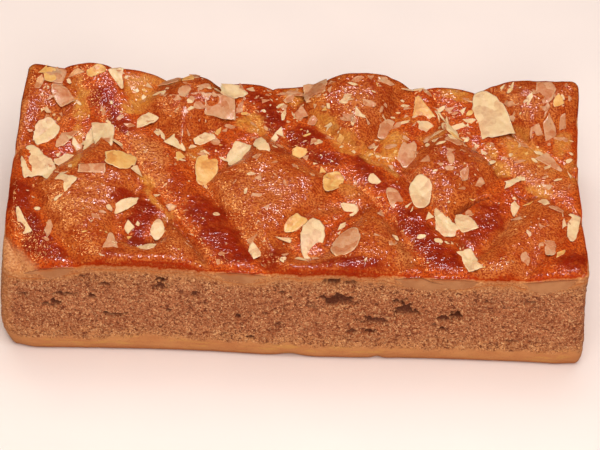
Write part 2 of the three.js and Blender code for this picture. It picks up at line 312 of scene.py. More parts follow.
def grid_faces(rows, columns, start=0, closed=False):
    """Quads between the rows of a grid of points, closed round if the columns form a ring"""
    last = columns if closed else columns - 1
    row, column = np.meshgrid(np.arange(rows - 1), np.arange(last), indexing="ij")
    after = (column + 1) % columns
    quads = np.stack([row * columns + column, row * columns + after,
                      (row + 1) * columns + after, (row + 1) * columns + column], axis=-1)
    return (quads.reshape(-1, 4) + start).tolist()


FRONT_STEP = 0.62
SIDE_STEP = 0.95
ROUND_STEPS = 9
BASE_ROUND = 3.2
BASE_ROUND_HEIGHT = 7.1
# The base's corners are rounder than the rest, most at the left
CORNER_REACH = 14
CORNER_HEIGHT = 16
CORNER_LEFT = 2.6
CORNER_RIGHT = 1.2
SKIN_HEIGHT = 7.4
SKIN_FADE = 2.6
LID_FLOOR = 40.0
LEDGE = 3.4
# Nicks in the front of the base: x, half width, depth
NICKS = [(-1, 5.5, 1.5), (36, 2.2, 1.1)]
NICK_HEIGHT = 5

# Large bubbles in the front cut: x, height of the middle, width, height, depth
FRONT_BUBBLES = [
    (16.5, 46.6, 7.8, 6.12, 4.6), (22.5, 46, 7.2, 5.44, 2.6), (20, 34.8, 15.6, 8.5, 2.6),
    (16, 33.4, 6, 5.78, 3.4), (34, 23.2, 12, 7.48, 1.7), (48, 29, 9.6, 7.48, 2.8),
    (69, 27, 6.6, 6.12, 4.6), (65, 24.6, 6, 4.42, 2.2), (60.5, 20.6, 4.2, 4.42, 1.2),
    (-57, 39, 6.6, 7.82, 2.4), (-81, 39, 4.32, 3.74, 1.6), (-97, 33, 9, 3.74, 1.8),
    (-101, 27.5, 5.28, 5.1, 2.2), (-115, 32.5, 3.12, 4.42, 1.6), (-77, 21.6, 9.6, 3.74, 2.2),
    (-42, 34.6, 4.08, 4.08, 1.6), (-38, 29.5, 4.08, 5.1, 1.2), (-23.5, 22.6, 3.84, 4.08, 2),
    (-18.5, 10.8, 3.6, 3.74, 1.4), (-5, 38.6, 4.08, 3.06, 1.6), (-90, 43.6, 5.28, 2.38, 1.2),
    (100, 36.5, 6, 2.38, 1.2), (83, 35.8, 5.04, 2.38, 1.2), (-6, 18.6, 4.08, 4.42, 0.9),
    (93, 13.4, 3.12, 3.4, 1.2), (102, 13.6, 3.12, 2.72, 1), (8, 31, 3.6, 5.78, 1),
    (-53, 24, 3.12, 3.4, 1),
]
BUBBLE_COUNT = 760
BUBBLE_HEIGHTS = (11, 46)
LARGE_SHARE = 0.10
TAN_FROM = 117


def outline_ring():
    """The plain outline, walked round from the front left: x, y and the way each place faces"""
    stops = []
    inner_x, inner_y = HALF_LENGTH - CORNER_RADIUS, HALF_DEPTH - CORNER_RADIUS
    for side in range(4):
        facing = (side - 1) * math.pi / 2
        length = inner_x if side % 2 == 0 else inner_y
        away = HALF_DEPTH if side % 2 == 0 else HALF_LENGTH
        step = FRONT_STEP if side == 0 else SIDE_STEP
        for t in np.linspace(-length, length, int(2 * length / step))[:-1]:
            stops.append((away * math.cos(facing) - t * math.sin(facing),
                          away * math.sin(facing) + t * math.cos(facing), facing))
        corner_x = math.copysign(inner_x, math.cos(facing + math.pi / 4))
        corner_y = math.copysign(inner_y, math.sin(facing + math.pi / 4))
        for turn in np.linspace(0, math.pi / 2, ROUND_STEPS)[:-1]:
            stops.append((corner_x + CORNER_RADIUS * math.cos(facing + turn),
                          corner_y + CORNER_RADIUS * math.sin(facing + turn), facing + turn))
    return np.array(stops).T


ring_x, ring_y, ring_facing = outline_ring()
ring_count = len(ring_x)
ring_run = run_along(ring_x, ring_y)
rim_height = crust_end(ring_x, ring_y) + 0.9

low_rows = BASE_ROUND_HEIGHT * (1 - np.cos(np.linspace(0, math.pi / 2, ROUND_STEPS)))
wall_rows = int((FRONT_RIM - BASE_ROUND_HEIGHT) / FRONT_STEP)
upward = np.linspace(0, 1, wall_rows)[1:, None]
wall_z = np.vstack([np.repeat(low_rows[:, None], ring_count, axis=1),
                    BASE_ROUND_HEIGHT + upward * (rim_height - BASE_ROUND_HEIGHT)])
inset = BASE_ROUND * (1 - np.sqrt(1 - np.clip(1 - wall_z / BASE_ROUND_HEIGHT, 0, 1) ** 2))
end_gap = np.minimum(np.abs(np.abs(ring_x) - HALF_LENGTH), CORNER_REACH)
side_gap = np.minimum(np.abs(np.abs(ring_y) - HALF_DEPTH), CORNER_REACH)
corner_round = 1 - smooth((end_gap + side_gap) / CORNER_REACH)
corner_round = np.where(ring_x < 0, CORNER_LEFT, CORNER_RIGHT) * corner_round
inset = inset + corner_round * (1 - smooth(wall_z / CORNER_HEIGHT))
for nick_x, half_width, depth in NICKS:
    dent = depth * np.exp(-((ring_x - nick_x) / half_width) ** 2) * (ring_y < 0)
    inset = inset + dent * (1 - smooth(wall_z / NICK_HEIGHT))
run_and_height = np.stack([np.broadcast_to(ring_run, wall_z.shape), wall_z], axis=-1)

# Bubbles are pressed into the wall one by one: ragged ellipses, deepest under their upper edge
rng = np.random.default_rng(41)
pore_depth_and_painted_shade = np.zeros(wall_z.shape)
painted_shade = np.zeros(wall_z.shape)
ragged = grain(run_and_height, 1.4, 21) * 0.50 + grain(run_and_height, 3.0, 22) * 0.36
front_start = HALF_LENGTH - CORNER_RADIUS
bubbles = [(x + front_start, *rest) for x, *rest in FRONT_BUBBLES]
for _ in range(BUBBLE_COUNT):
    width = 1.1 + 1.1 * rng.random() ** 2 + (3.2 * rng.random() if rng.random() < LARGE_SHARE else 0)
    bubbles.append((rng.uniform(0, ring_run[-1]), rng.uniform(*BUBBLE_HEIGHTS), width,
                    width * rng.uniform(0.5, 0.95), width * rng.uniform(0.35, 0.6)))
for run, height, width, tall, deep in bubbles:
    first, last = np.searchsorted(ring_run, [run - width, run + width])
    near = np.s_[:, first:last]
    rise = (wall_z[near] - height) / (tall / 2)
    reach = np.hypot((run_and_height[near][..., 0] - run) / (width / 2), rise) + ragged[near]
    bowl = np.sqrt(np.clip(1 - reach ** 2, 0, 1)) * np.clip(0.8 + 0.35 * rise, 0.2, 1.2)
    pore_depth_and_painted_shade[near] = np.maximum(pore_depth_and_painted_shade[near], deep * bowl)
    # Painted shade in each bubble, darkest under its overhanging upper edge and paler on its lit floor
    painted_shade[near] = np.maximum(painted_shade[near], deep * bowl * np.clip(0.75 + 0.6 * rise, 0.25, 1.3))

skin_wander = 1.5 * grain(run_and_height, 12, 23) + 1.1 * grain(run_and_height, 2.6, 28)
skin = 1 - smooth((wall_z + skin_wander - SKIN_HEIGHT) / SKIN_FADE)
under_crust = smooth((wall_z - rim_height + 4.6 + 0.8 * grain(run_and_height, 3, 29)) / 4.0)
open_crumb = (1 - skin) * (1 - 0.85 * under_crust)
pore_depth_and_painted_shade *= np.clip(open_crumb * 1.6, 0, 1)
lumps = 0.17 * grain(run_and_height, 2.5, 24) + 0.22 * grain(run_and_height, 1.15, 25)
# Painted shade in the dips between the lumps of the cut crumb
painted_valley_shade = np.clip(0.45 - 1.8 * lumps, 0, 1)
end_tan = 0.7 * smooth((-ring_x - TAN_FROM + 1.5 * grain(run_and_height, 3, 30)) / 6)
tucked = 0.35 * smooth((wall_z - rim_height + 1.0) / 1.0)
inward = pore_depth_and_painted_shade + lumps * (0.12 + 0.88 * open_crumb) + inset + tucked
inward = inward + wall_unevenness(ring_x, ring_y, wall_z) * (1 - 0.5 * skin)
wall_x, wall_y = wall_place(ring_x, ring_y, wall_z)
wall_x = wall_x - inward * np.cos(ring_facing)
wall_y = wall_y - inward * np.sin(ring_facing)

# Above the walls the block is hollowed to take the baked top, which sits in it like a lid
ledge_x, ledge_y = ring_x - LEDGE * np.cos(ring_facing), ring_y - LEDGE * np.sin(ring_facing)
crumb_places = np.vstack([
    np.stack([wall_x, wall_y, wall_z], axis=-1).reshape(-1, 3),
    np.column_stack([ledge_x, ledge_y, rim_height - 0.4]),
    np.column_stack([ledge_x, ledge_y, np.full(ring_count, LID_FLOOR)]),
])
crumb_rows = wall_z.shape[0] + 2
crumb_faces = grid_faces(crumb_rows, ring_count, closed=True)
crumb_faces.append(list(range(ring_count))[::-1])
crumb_faces.append([(crumb_rows - 1) * ring_count + i for i in range(ring_count)])
pad = np.zeros(2 * ring_count)
crumb = add_piece("crumb_block", crumb_places, crumb_faces, {
    "pore_depth_and_painted_shade": np.concatenate([painted_shade.ravel(), pad]),
    "painted_valley_shade": np.concatenate([painted_valley_shade.ravel(), pad]),
    "skin": np.concatenate([skin.ravel(), pad]),
    "under_crust": np.concatenate([np.maximum(under_crust, end_tan).ravel(), pad + 1]),
})


class Finish:
    """A material under construction: adds shader nodes and wires them up"""

    def __init__(self, name):
        self.material = bpy.data.materials.new(name)
        self.material.use_nodes = True
        self.nodes = self.material.node_tree.nodes
        self.shader = self.nodes["Principled BSDF"]
        self.object_place = self.nodes.new("ShaderNodeTexCoord").outputs["Object"]

    def wire(self, source, target):
        """Puts a socket's output, or a plain value, into an input"""
        if isinstance(source, bpy.types.NodeSocket):
            self.material.node_tree.links.new(source, target)
        else:
            target.default_value = source

    def look(self, name):
        """A look of the mesh, by its name"""
        node = self.nodes.new("ShaderNodeAttribute")
        node.attribute_name = name
        return node.outputs["Fac"]

    def noise(self, size_mm, detail=3.0, roughness=0.55, stretch=(1, 1, 1)):
        """Noise with blotches of about a size, between 0 and 1"""
        mapping = self.nodes.new("ShaderNodeMapping")
        mapping.inputs["Scale"].default_value = stretch
        self.wire(self.object_place, mapping.inputs["Vector"])
        node = self.nodes.new("ShaderNodeTexNoise")
        node.inputs["Scale"].default_value = 1 / (size_mm * MM)
        node.inputs["Detail"].default_value = detail
        node.inputs["Roughness"].default_value = roughness
        self.wire(mapping.outputs["Vector"], node.inputs["Vector"])
        return node.outputs["Fac"]

    def height(self):
        """Height above the table in millimetres"""
        node = self.nodes.new("ShaderNodeSeparateXYZ")
        self.wire(self.object_place, node.inputs[0])
        return self.sum("DIVIDE", node.outputs["Z"], MM)

    def between(self, value, low, high, to_low=0.0, to_high=1.0):
        """A value spread from one range to another, with soft ends"""
        node = self.nodes.new("ShaderNodeMapRange")
        node.interpolation_type = "SMOOTHSTEP"
        self.wire(value, node.inputs["Value"])
        numbers = {"From Min": low, "From Max": high, "To Min": to_low, "To Max": to_high}
        for key, number in numbers.items():
            node.inputs[key].default_value = number
        return node.outputs["Result"]

    def sum(self, kind, a, b):
        """Two values added, multiplied and so on"""
        node = self.nodes.new("ShaderNodeMath")
        node.operation = kind
        self.wire(a, node.inputs[0])
        self.wire(b, node.inputs[1])
        return node.outputs[0]

    def blend(self, share, a, b, kind="MIX"):
        """Colour a, turning to colour b by a share"""
        node = self.nodes.new("ShaderNodeMix")
        node.data_type = "RGBA"
        node.blend_type = kind
        self.wire(share, node.inputs["Factor"])
        for colour, key in ((a, "A"), (b, "B")):
            target = [i for i in node.inputs if i.name == key and i.type == "RGBA"][0]
            self.wire((*colour, 1) if isinstance(colour, tuple) else colour, target)
        return [o for o in node.outputs if o.type == "RGBA"][0]

    def mottled(self, noise, colour, tone, low, high, to_low=0.0, to_high=1.0):
        """Colour turning to a tone where noise (size, detail, roughness, stretch) goes low to high"""
        return self.blend(self.between(self.noise(*noise), low, high, to_low, to_high), colour, tone)

    def bump(self, height, distance_mm, strength=1.0, over=None):
        """Bumps too fine for the mesh, if need be over other bumps"""
        node = self.nodes.new("ShaderNodeBump")
        node.inputs["Distance"].default_value = distance_mm * MM
        self.wire(strength, node.inputs["Strength"])
        self.wire(height, node.inputs["Height"])
        if over is not None:
            self.wire(over, node.inputs["Normal"])
        return node.outputs["Normal"]

    def finish(self, colour, normal=None, **settings):
        """Sets the shader's colour, normal and plain numbers"""
        self.wire(colour, self.shader.inputs["Base Color"])
        if normal is not None:
            self.wire(normal, self.shader.inputs["Normal"])
        for key, value in settings.items():
            self.wire(value, self.shader.inputs[key.replace("_", " ")])
        return self.material


def crumb_colour(f):
    """Brown crumb: darkest in the middle of its height, paler near the skin and the crust, with specks of
    painted shade for its fine pores
    """
    middle = f.mottled((20, 4), (0.48, 0.160, 0.060), (0.55, 0.195, 0.078), 0.35, 0.65)
    paler = f.mottled((9, 4), (0.62, 0.255, 0.090), (0.69, 0.31, 0.115), 0.35, 0.65)
    height = f.sum("ADD", f.height(), f.between(f.noise(8, 3), 0.2, 0.8, -3.0, 3.0))
    ends = f.sum("MAXIMUM", f.between(height, 9, 18, 1, 0), f.between(height, 36, 46, 0, 0.8))
    colour = f.blend(f.sum("MULTIPLY", ends, 0.85), middle, paler)
    # Dark specks are painted shade in pores too fine for the mesh; the pale specks are lighter crumb
    colour = f.mottled((0.95, 2, 0.7), colour, (0.21, 0.042, 0.012), 0.38, 0.51, 0.95, 0.0)
    colour = f.mottled((0.85, 2, 0.7), colour, (0.84, 0.46, 0.21), 0.51, 0.64, 0, 0.9)
    colour = f.mottled((0.7, 2, 0.7), colour, (0.11, 0.018, 0.008), 0.33, 0.42, 0.85, 0)
    return f.mottled((1.8, 3, 0.65), colour, (0.12, 0.021, 0.009), 0.36, 0.45, 0.85, 0)


def tan_colour(f):
    """The smooth outermost crumb, baked tan where it meets the crust"""
    tan = f.mottled((4, 4), (0.50, 0.175, 0.050), (0.58, 0.235, 0.078), 0.3, 0.7)
    tan = f.mottled((0.9, 2, 0.7), tan, (0.80, 0.42, 0.19), 0.52, 0.66, 0, 0.6)
    return f.mottled((1.0, 2, 0.7), tan, (0.30, 0.072, 0.022), 0.36, 0.50, 0.7, 0.0)


def crumb_finish():
    f = Finish("brown_crumb")
    colour = crumb_colour(f)
    # Painted shade in the dips between the crumb's lumps
    colour = f.blend(f.between(f.look("painted_valley_shade"), 0.0, 1.0, 0.0, 0.5), colour, (0.26, 0.062, 0.021))
    # Painted shade in the bubbles of the cut
    colour = f.blend(f.between(f.look("pore_depth_and_painted_shade"), 0.05, 1.3, 0, 0.88), colour, (0.10, 0.024, 0.012))
    colour = f.blend(f.between(f.look("under_crust"), 0.0, 1.0, 0, 0.9), colour, tan_colour(f))
    colour = f.blend(f.between(f.look("under_crust"), 0.80, 1.0, 0, 0.55), colour, (0.50, 0.130, 0.030))
    baked = f.mottled((16, 5, 0.6, (1, 1, 3)), (0.54, 0.190, 0.060), (0.63, 0.262, 0.086), 0.3, 0.7)
    baked = f.mottled((5, 4, 0.6, (0.5, 0.5, 3)), baked, (0.64, 0.31, 0.075), 0.5, 0.7, 0, 0.7)
    # Painted shade along the foot, darker towards the table where the base meets it
    baked = f.blend(f.between(f.height(), 0.2, 3.6, 0.8, 0.0), baked, (0.45, 0.115, 0.026))
    baked = f.mottled((0.8, 4, 0.7), baked, (0.38, 0.12, 0.040), 0.52, 0.70, 0, 0.5)
    colour = f.blend(f.look("skin"), colour, baked)
    coarse = f.bump(f.noise(0.9, 1, 0.6), 0.7, f.between(f.look("skin"), 0, 1, 1.0, 0.15))
    rough = f.between(f.look("skin"), 0, 1, 0.92, 0.55)
    return f.finish(colour, coarse, Roughness=rough, Specular_IOR_Level=0.3)


crumb.data.materials.append(crumb_finish())
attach(crumb, "root")
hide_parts("cake_crumb")

# ---------------------------------------------------------------------------------------------
# The baked top
# The risen crumb browns to a thin orange-brown crust in the oven and is brushed with clear glaze
# while hot. It rolls over the cut edges, where the glaze ends in a soft dark red line.
# ---------------------------------------------------------------------------------------------
TOP_STEP = 0.8
EDGE_STEPS = [0, 0.1, 0.35, 0.75, 1.3, 2.0, 2.8, 3.6]
# The glaze thins out over the last millimetres of the top, then down the cut
RIM_FADE = 2.2
RIM_REACH = 3.5
GLAZE_FADE = 3.4
# The bare tan corner at the front left: how far it reaches along and back
TAN_ALONG = 19
TAN_BACK = 24

# Dark red pools, where glaze gathered: x, y, half width, half length, turn in degrees, strength
POOLS = [
    (-121, -20, 6, 12, 8, 1.0), (-112, -44, 6, 17, 28, 0.95), (-103, -57, 6, 4, 0, 0.8),
    (-67, -33, 6, 14, -8, 1.0), (-68, -46, 5, 5, 0, 1.0), (-73, -21, 7, 5, 0, 0.8),
    (-88, 42, 6, 9, 35, 0.8), (-81, 30, 5, 10, 35, 0.9), (-49, -14, 7, 12, 30, 0.45),
    (-40, -28, 9, 13, 32, 0.85), (-31, -45, 9, 13, 32, 0.95), (-24, -53, 9, 7, 0, 1.0),
    (-8, -54, 7, 7, 0, 0.8), (-22, 52, 8, 4, -25, 0.8), (-14, 43, 5, 9, 20, 0.95),
    (-11, 33, 4, 6, 0, 0.8), (3, 24, 8, 8, 30, 0.9), (13, 11, 9, 4, -25, 0.9), (29, 8, 4, 8, 25, 0.9),
    (35, -3, 5, 9, 30, 0.8), (8, 11, 9, 2.5, -30, 0.9), (50, -28, 8, 11, 25, 0.75),
    (57, -41, 8, 12, 28, 0.9), (64, -54, 10, 8, 0, 0.95), (81, -28, 7, 16, -32, 0.75),
    (74, -40, 6, 7, 0, 0.6), (118, -52, 8, 7, 0, 0.85), (24, -59, 16, 4, 0, 0.8),
    (-112, 7, 7, 6, 0, 0.5), (-119, 30, 4, 9, 0, 0.3), (-117, 62, 7, 5, 0, 0.5),
    (46, -6, 5, 8, 20, 0.5), (66, 14, 12, 10, 0, 0.45), (75, 0, 10, 10, 0, 0.35),
    (35, 50, 9, 10, 0, 0.35), (104, 55, 12, 8, 0, 0.4), (-36, 17, 5, 6, 0, 0.6),
    (-55, 46, 6, 5, 0, 0.4), (-8, 14, 5, 5, 0, 0.5), (-78, -58, 6, 3, 0, 0.5),
]
# Golden and olive stretches of bare paste: the same six numbers
BARE_PASTE = [
    (-73, 50, 8, 11, 20, 1.0), (-75, 40, 6, 4, 0, 0.9), (-62, 57, 8, 4, 0, 0.6),
    (-98, 38, 4, 11, 8, 0.8), (-97, 20, 3, 8, 0, 0.7), (-97, 1, 3, 7, 0, 0.9), (-66, -9, 4, 8, 25, 0.8),
    (-61, -22, 3, 8, 28, 0.75), (-56, -31, 3, 4, 0, 0.7), (-22, 34, 7, 8, 30, 0.9),
    (-45, 12, 5, 8, 0, 0.6), (11, 33, 5, 9, 40, 0.9), (20, 21, 5, 8, 40, 0.8), (32, 13, 4, 9, 45, 0.8),
    (41, 5, 3, 5, 40, 0.7), (41, 19, 6, 12, -10, 0.9), (58, 27, 8, 4, 0, 0.5), (85, 20, 4, 6, 0, 0.7),
    (90, 8, 4, 8, 15, 0.9), (102, 20, 12, 7, -20, 0.8), (97, 31, 8, 5, 0, 0.6), (106, -6, 6, 4, 0, 0.9),
    (118, 26, 4, 10, 0, 0.7), (-125, 57, 3, 7, 0, 0.6), (-4, 53, 7, 6, 0, 0.8), (70, 57, 9, 4, 0, 0.8),
    (23, -9, 5, 9, 0, 0.5), (114, 8, 9, 9, 0, 0.4), (7, 44, 4, 5, 0, 0.5), (-101, 50, 4, 7, 0, 0.5),
    (46, 39, 6, 3, 20, 0.5), (122, 8, 3, 10, 0, 0.5),
]
# Brighter orange stretches of thin crust; on the big pillows they are also a painted sheen, paler and
# bluer, where the glaze glints
BRIGHT_CRUST_AND_SHEEN = [
    (-66, 10, 7, 14, 30, 0.9), (-60, -4, 5, 8, 30, 0.6), (-64, 58, 9, 4, 0, 0.5),
    (46, -50, 4, 11, 18, 0.7), (40, -40, 6, 8, 0, 0.4), (103, 8, 14, 9, -30, 0.7),
    (115, -3, 8, 6, 0, 0.6), (98, 26, 6, 6, 0, 0.7), (25, -12, 6, 10, 0, 0.6), (12, -22, 8, 6, 0, 0.4),
    (-50, -50, 9, 8, 0, 0.4), (14, -52, 10, 6, 0, 0.4), (92, -34, 5, 10, -25, 0.6),
    (-99, -30, 7, 14, 0, 0.3), (-108, 36, 8, 8, 0, 0.3), (-125, 20, 3, 20, 0, 0.6),
    (-40, -56, 4, 6, 0, 0.6), (88, -58, 14, 3, 0, 0.4), (-92, -26, 14, 14, 0, 0.5),
    (-18, -14, 15, 14, 0, 0.5), (27, 42, 10, 9, 0, 0.55), (104, 46, 12, 9, 0, 0.45),
]


def graded(half):
    """Steps across the top, close together at both edges where the crust rolls over"""
    middle = np.linspace(-half + EDGE_STEPS[-1] + TOP_STEP, half - EDGE_STEPS[-1] - TOP_STEP,
                         int(2 * (half - EDGE_STEPS[-1]) / TOP_STEP))
    edge = np.array(EDGE_STEPS)
    return np.concatenate([-half + edge, middle, half - edge[::-1]])


def patches(table, x, y):
    """How strongly each place is covered by a table of soft-edged patches with wandering outlines"""
    places = np.stack([x, y], axis=-1)
    x = x + 2.2 * grain(places, 7, 36) + 0.9 * grain(places, 2.6, 37)
    y = y + 2.2 * grain(places, 7, 38) + 0.9 * grain(places, 2.6, 39)
    cover = np.zeros(np.shape(x))
    for cx, cy, half_width, half_length, degrees, strength in table:
        turn = math.radians(degrees)
        u = (x - cx) * math.cos(turn) + (y - cy) * math.sin(turn)
        v = (y - cy) * math.cos(turn) - (x - cx) * math.sin(turn)
        away = np.hypot(u / half_width, v / half_length)
        cover = np.maximum(cover, strength * (1 - smooth((away - 0.55) / 0.85)))
    return cover


def glaze_edge(x, y, z):
    """0 well inside the top, 0.5 where the glaze starts to fade at a cut edge, 1 where it ends"""
    within = edge_distance(x, y)
    ragged = within + 0.4 * grain(np.stack([x, y], axis=-1), 6, 40)
    faded = np.clip(1 - (z - glaze_end(x, y)) / GLAZE_FADE, 0, 1)
    on_rim = 1 - smooth((within - 0.5) / RIM_REACH)
    return 0.5 * (1 - smooth(ragged / RIM_FADE)) + 0.5 * faded * on_rim


def top_looks(x, y, z):
    """How each place of the top is coloured: paste, pools, bare stretches, bright stretches with a
    painted sheen, painted shade in the folds, and edges
    """
    places = np.stack([x, y], axis=-1)
    wander = 1.4 * grain(places, 8, 31) + 0.6 * grain(places, 3, 32)
    strip = np.minimum(upper_distance(x, y), lower_distance(x, y) + 1.2) + wander
    front_left = (x + HALF_LENGTH) / TAN_ALONG + (y + HALF_DEPTH) / TAN_BACK
    return {
        "paste": 1 - smooth((strip - HALF_STRIP + 3.0) / 5.0),
        "pool": patches(POOLS, x, y),
        "bare": patches(BARE_PASTE, x, y),
        "bright_and_sheen": patches(BRIGHT_CRUST_AND_SHEEN, x, y),
        "painted_fold_shade": fold_shade(x, y),
        "edge": glaze_edge(x, y, z),
        "corner": 1 - smooth((front_left + 0.12 * grain(places, 5, 33) - 0.62) / 0.3),
    }


top_x, top_y = np.meshgrid(graded(HALF_LENGTH), graded(HALF_DEPTH))
past_x = np.clip(np.abs(top_x) - (HALF_LENGTH - CORNER_RADIUS), 0, None)
past_y = np.clip(np.abs(top_y) - (HALF_DEPTH - CORNER_RADIUS), 0, None)
squeeze = np.maximum(past_x, past_y) / np.maximum(np.hypot(past_x, past_y), 1e-9)
in_corner = (past_x > 0) & (past_y > 0)
round_x = np.where(in_corner, np.sign(top_x) * (HALF_LENGTH - CORNER_RADIUS + past_x * squeeze), top_x)
round_y = np.where(in_corner, np.sign(top_y) * (HALF_DEPTH - CORNER_RADIUS + past_y * squeeze), top_y)
top_z = crust_height(round_x, round_y)
lid_x, lid_y = wall_place(round_x, round_y, top_z)
lid_looks = top_looks(round_x, round_y, top_z)
edge_inward = wall_unevenness(round_x, round_y, top_z) * (1 - smooth(edge_distance(round_x, round_y) / 3))
lid_x = lid_x - edge_inward * np.sign(round_x) * (HALF_LENGTH - np.abs(round_x) < 3)
lid_y = lid_y - edge_inward * np.sign(round_y) * (HALF_DEPTH - np.abs(round_y) < 3)

rows, columns = top_z.shape
border = np.concatenate([
    np.arange(columns), np.arange(1, rows) * columns + columns - 1,
    (rows - 1) * columns + np.arange(columns - 2, -1, -1), np.arange(rows - 2, 0, -1) * columns,
])
border_x, border_y, border_z = round_x.ravel()[border], round_y.ravel()[border], top_z.ravel()[border]
out_x = border_x - np.clip(border_x, -HALF_LENGTH + CORNER_RADIUS, HALF_LENGTH - CORNER_RADIUS)
out_y = border_y - np.clip(border_y, -HALF_DEPTH + CORNER_RADIUS, HALF_DEPTH - CORNER_RADIUS)
facing = np.arctan2(out_y, out_x)

# The skirt: down over the cut edge to where the crust ends, then tucked in under the lid
SKIRT_SHARES = [0.10, 0.22, 0.36, 0.50, 0.64, 0.78, 0.90, 1.0]
SKIRT_PROUD = 0.12
border_end = crust_end(border_x, border_y)
skirt_rings, skirt_edges = [], []
for share in SKIRT_SHARES:
    low_z = border_z + (border_end - border_z) * share
    low_x, low_y = wall_place(border_x, border_y, low_z)
    reach = SKIRT_PROUD - 0.5 * smooth((share - 0.78) / 0.22) - wall_unevenness(border_x, border_y, low_z)
    low_x, low_y = low_x + reach * np.cos(facing), low_y + reach * np.sin(facing)
    skirt_rings.append(np.column_stack([low_x, low_y, low_z]))
    skirt_edges.append(glaze_edge(border_x, border_y, low_z))
tuck_x, tuck_y = border_x - (LEDGE + 0.8) * np.cos(facing), border_y - (LEDGE + 0.8) * np.sin(facing)
skirt_rings.append(np.column_stack([tuck_x, tuck_y, border_end + 0.3]))
skirt_rings.append(np.column_stack([tuck_x, tuck_y, np.full(len(border), LID_FLOOR + 0.3)]))
skirt_edges += [np.ones(len(border))] * 2

lid_places = np.vstack([np.stack([lid_x, lid_y, top_z], axis=-1).reshape(-1, 3), *skirt_rings])
lid_faces = grid_faces(rows, columns)
rings = [border]
for k in range(len(skirt_rings)):
    rings.append(rows * columns + k * len(border) + np.arange(len(border)))
for above, below in zip(rings, rings[1:]):
    lid_faces += np.column_stack([above, below, np.roll(below, -1), np.roll(above, -1)]).tolist()
lid_faces.append(rings[-1][::-1].tolist())
ring_looks = {key: np.concatenate([values.ravel(), np.tile(values.ravel()[border], len(skirt_rings))])
              for key, values in lid_looks.items()}
ring_looks["edge"] = np.concatenate([lid_looks["edge"].ravel(), *skirt_edges])
lid = add_piece("baked_top", lid_places, lid_faces, ring_looks)


def glazed_finish(name):
    """Crust and paste under one coat of glaze: the looks say where each is"""
    f = Finish(name)
    mottle = f.between(f.noise(6, 5, 0.65), 0.34, 0.66)
    crust = f.blend(mottle, (0.41, 0.055, 0.007), (0.56, 0.130, 0.021))
    paste = f.blend(mottle, (0.45, 0.040, 0.003), (0.64, 0.100, 0.009))
    colour = f.blend(f.sum("MULTIPLY", f.look("paste"), 0.8), crust, paste)
    # Brighter crust, tinted paler and bluer as a painted sheen
    bright_and_sheen = f.blend(mottle, (0.54, 0.135, 0.026), (0.63, 0.225, 0.062))
    colour = f.blend(f.look("bright_and_sheen"), colour, bright_and_sheen)
    # Pale specks: lighter grain of the crust, tinted bluish as a painted sheen
    colour = f.mottled((0.95, 2, 0.6), colour, (0.69, 0.225, 0.055), 0.30, 0.46, 0.7, 0)
    broken = f.between(f.noise(3.2, 5, 0.65), 0.3, 0.7, 0.55, 1.25)
    pool = f.mottled((5, 4, 0.6), (0.17, 0.006, 0.001), (0.29, 0.015, 0.002), 0.35, 0.7)
    gathered = f.sum("MULTIPLY", f.look("pool"), broken)
    colour = f.blend(f.between(gathered, 0.05, 0.9, 0, 0.97), colour, pool)
    gold = f.mottled((4, 4), (0.58, 0.185, 0.024), (0.68, 0.28, 0.055), 0.35, 0.65)
    gold = f.mottled((7, 4), gold, (0.45, 0.205, 0.055), 0.52, 0.75, 0, 0.7)
    bared = f.sum("MULTIPLY", f.look("bare"), broken)
    colour = f.blend(f.between(bared, 0.1, 0.9), colour, gold)
    speckled = f.between(f.look("bare"), 0.2, 0.8, 1.0, 0.5)
    dark_specks = f.sum("MULTIPLY", f.between(f.noise(0.85, 2, 0.6), 0.46, 0.58, 0, 0.85), speckled)
    colour = f.blend(dark_specks, colour, (0.25, 0.020, 0.004))
    # Painted shade in the folds and cracks
    colour = f.blend(f.between(f.look("painted_fold_shade"), 0.1, 1.0, 0, 0.7), colour, (0.15, 0.018, 0.005))
    ragged = f.sum("ADD", f.look("edge"), f.between(f.noise(2.0, 4, 0.65), 0.2, 0.8, -0.10, 0.10))
    line = f.blend(f.between(ragged, 0.50, 0.74), (0.34, 0.016, 0.001), (0.53, 0.120, 0.015))
    colour = f.blend(f.between(ragged, 0.40, 0.54, 0, 0.85), colour, line)
    colour = f.blend(f.between(ragged, 0.56, 0.90), colour, tan_colour(f))
    colour = f.blend(f.look("corner"), colour, tan_colour(f))
    dull = f.sum("MAXIMUM", f.between(ragged, 0.56, 0.78), f.look("corner"))
    swell = f.bump(f.noise(2.6, 1, 0.5), 0.35, f.between(dull, 0, 1, 1.0, 0.4))
    grainy = f.bump(f.noise(0.85, 0, 0.5), 0.24, f.between(dull, 0, 1, 1.0, 0.6), swell)
    return f.finish(colour, grainy, Roughness=f.between(dull, 0, 1, 0.15, 0.85), IOR=1.45)


lid.data.materials.append(glazed_finish("glazed_crust"))
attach(lid, "root")

# ---------------------------------------------------------------------------------------------
# The almond-paste strips
# Soft almond paste piped over the batter in two slanting sets, the second across the first. They
# sink in, bake dark red-brown under the glaze, and show as smooth pale lenses where they are cut.
# ---------------------------------------------------------------------------------------------
STRIP_STEP = 0.85
STRIP_LINES = 31
UPPER_DEPTH = 7.2
LOWER_DEPTH = 9.5
CUT_PROUD = 0.30
CUT_SUNK = 0.25
CUT_ROWS = 8
SIDE_TUCK = 0.6
UPPER_LIFT = 0.35
PRESSED_IN = 2.2


def strip_top(name, x, y):
    """Height of a strip's top: a low crown, tucked in at its sides; the lower ones dip under the upper"""
    places = np.stack([x, y], axis=-1)
    v = np.clip(lane_distance[name](x, y) / HALF_STRIP, 0, 1)
    height = valley_height(x, y) + STRIP_CROWN * (1 - v * v) - SIDE_TUCK * v ** 8 - roll_off(x, y)
    height = height + 0.25 * grain(places, 7, 11) + 0.10 * grain(places, 2.6, 12) - 0.8 * fold_depth(x, y)
    if name in UPPER_LANES:
        return height + UPPER_LIFT
    return height - PRESSED_IN * (1 - smooth((upper_distance(x, y) - HALF_STRIP * 0.75) / 5))


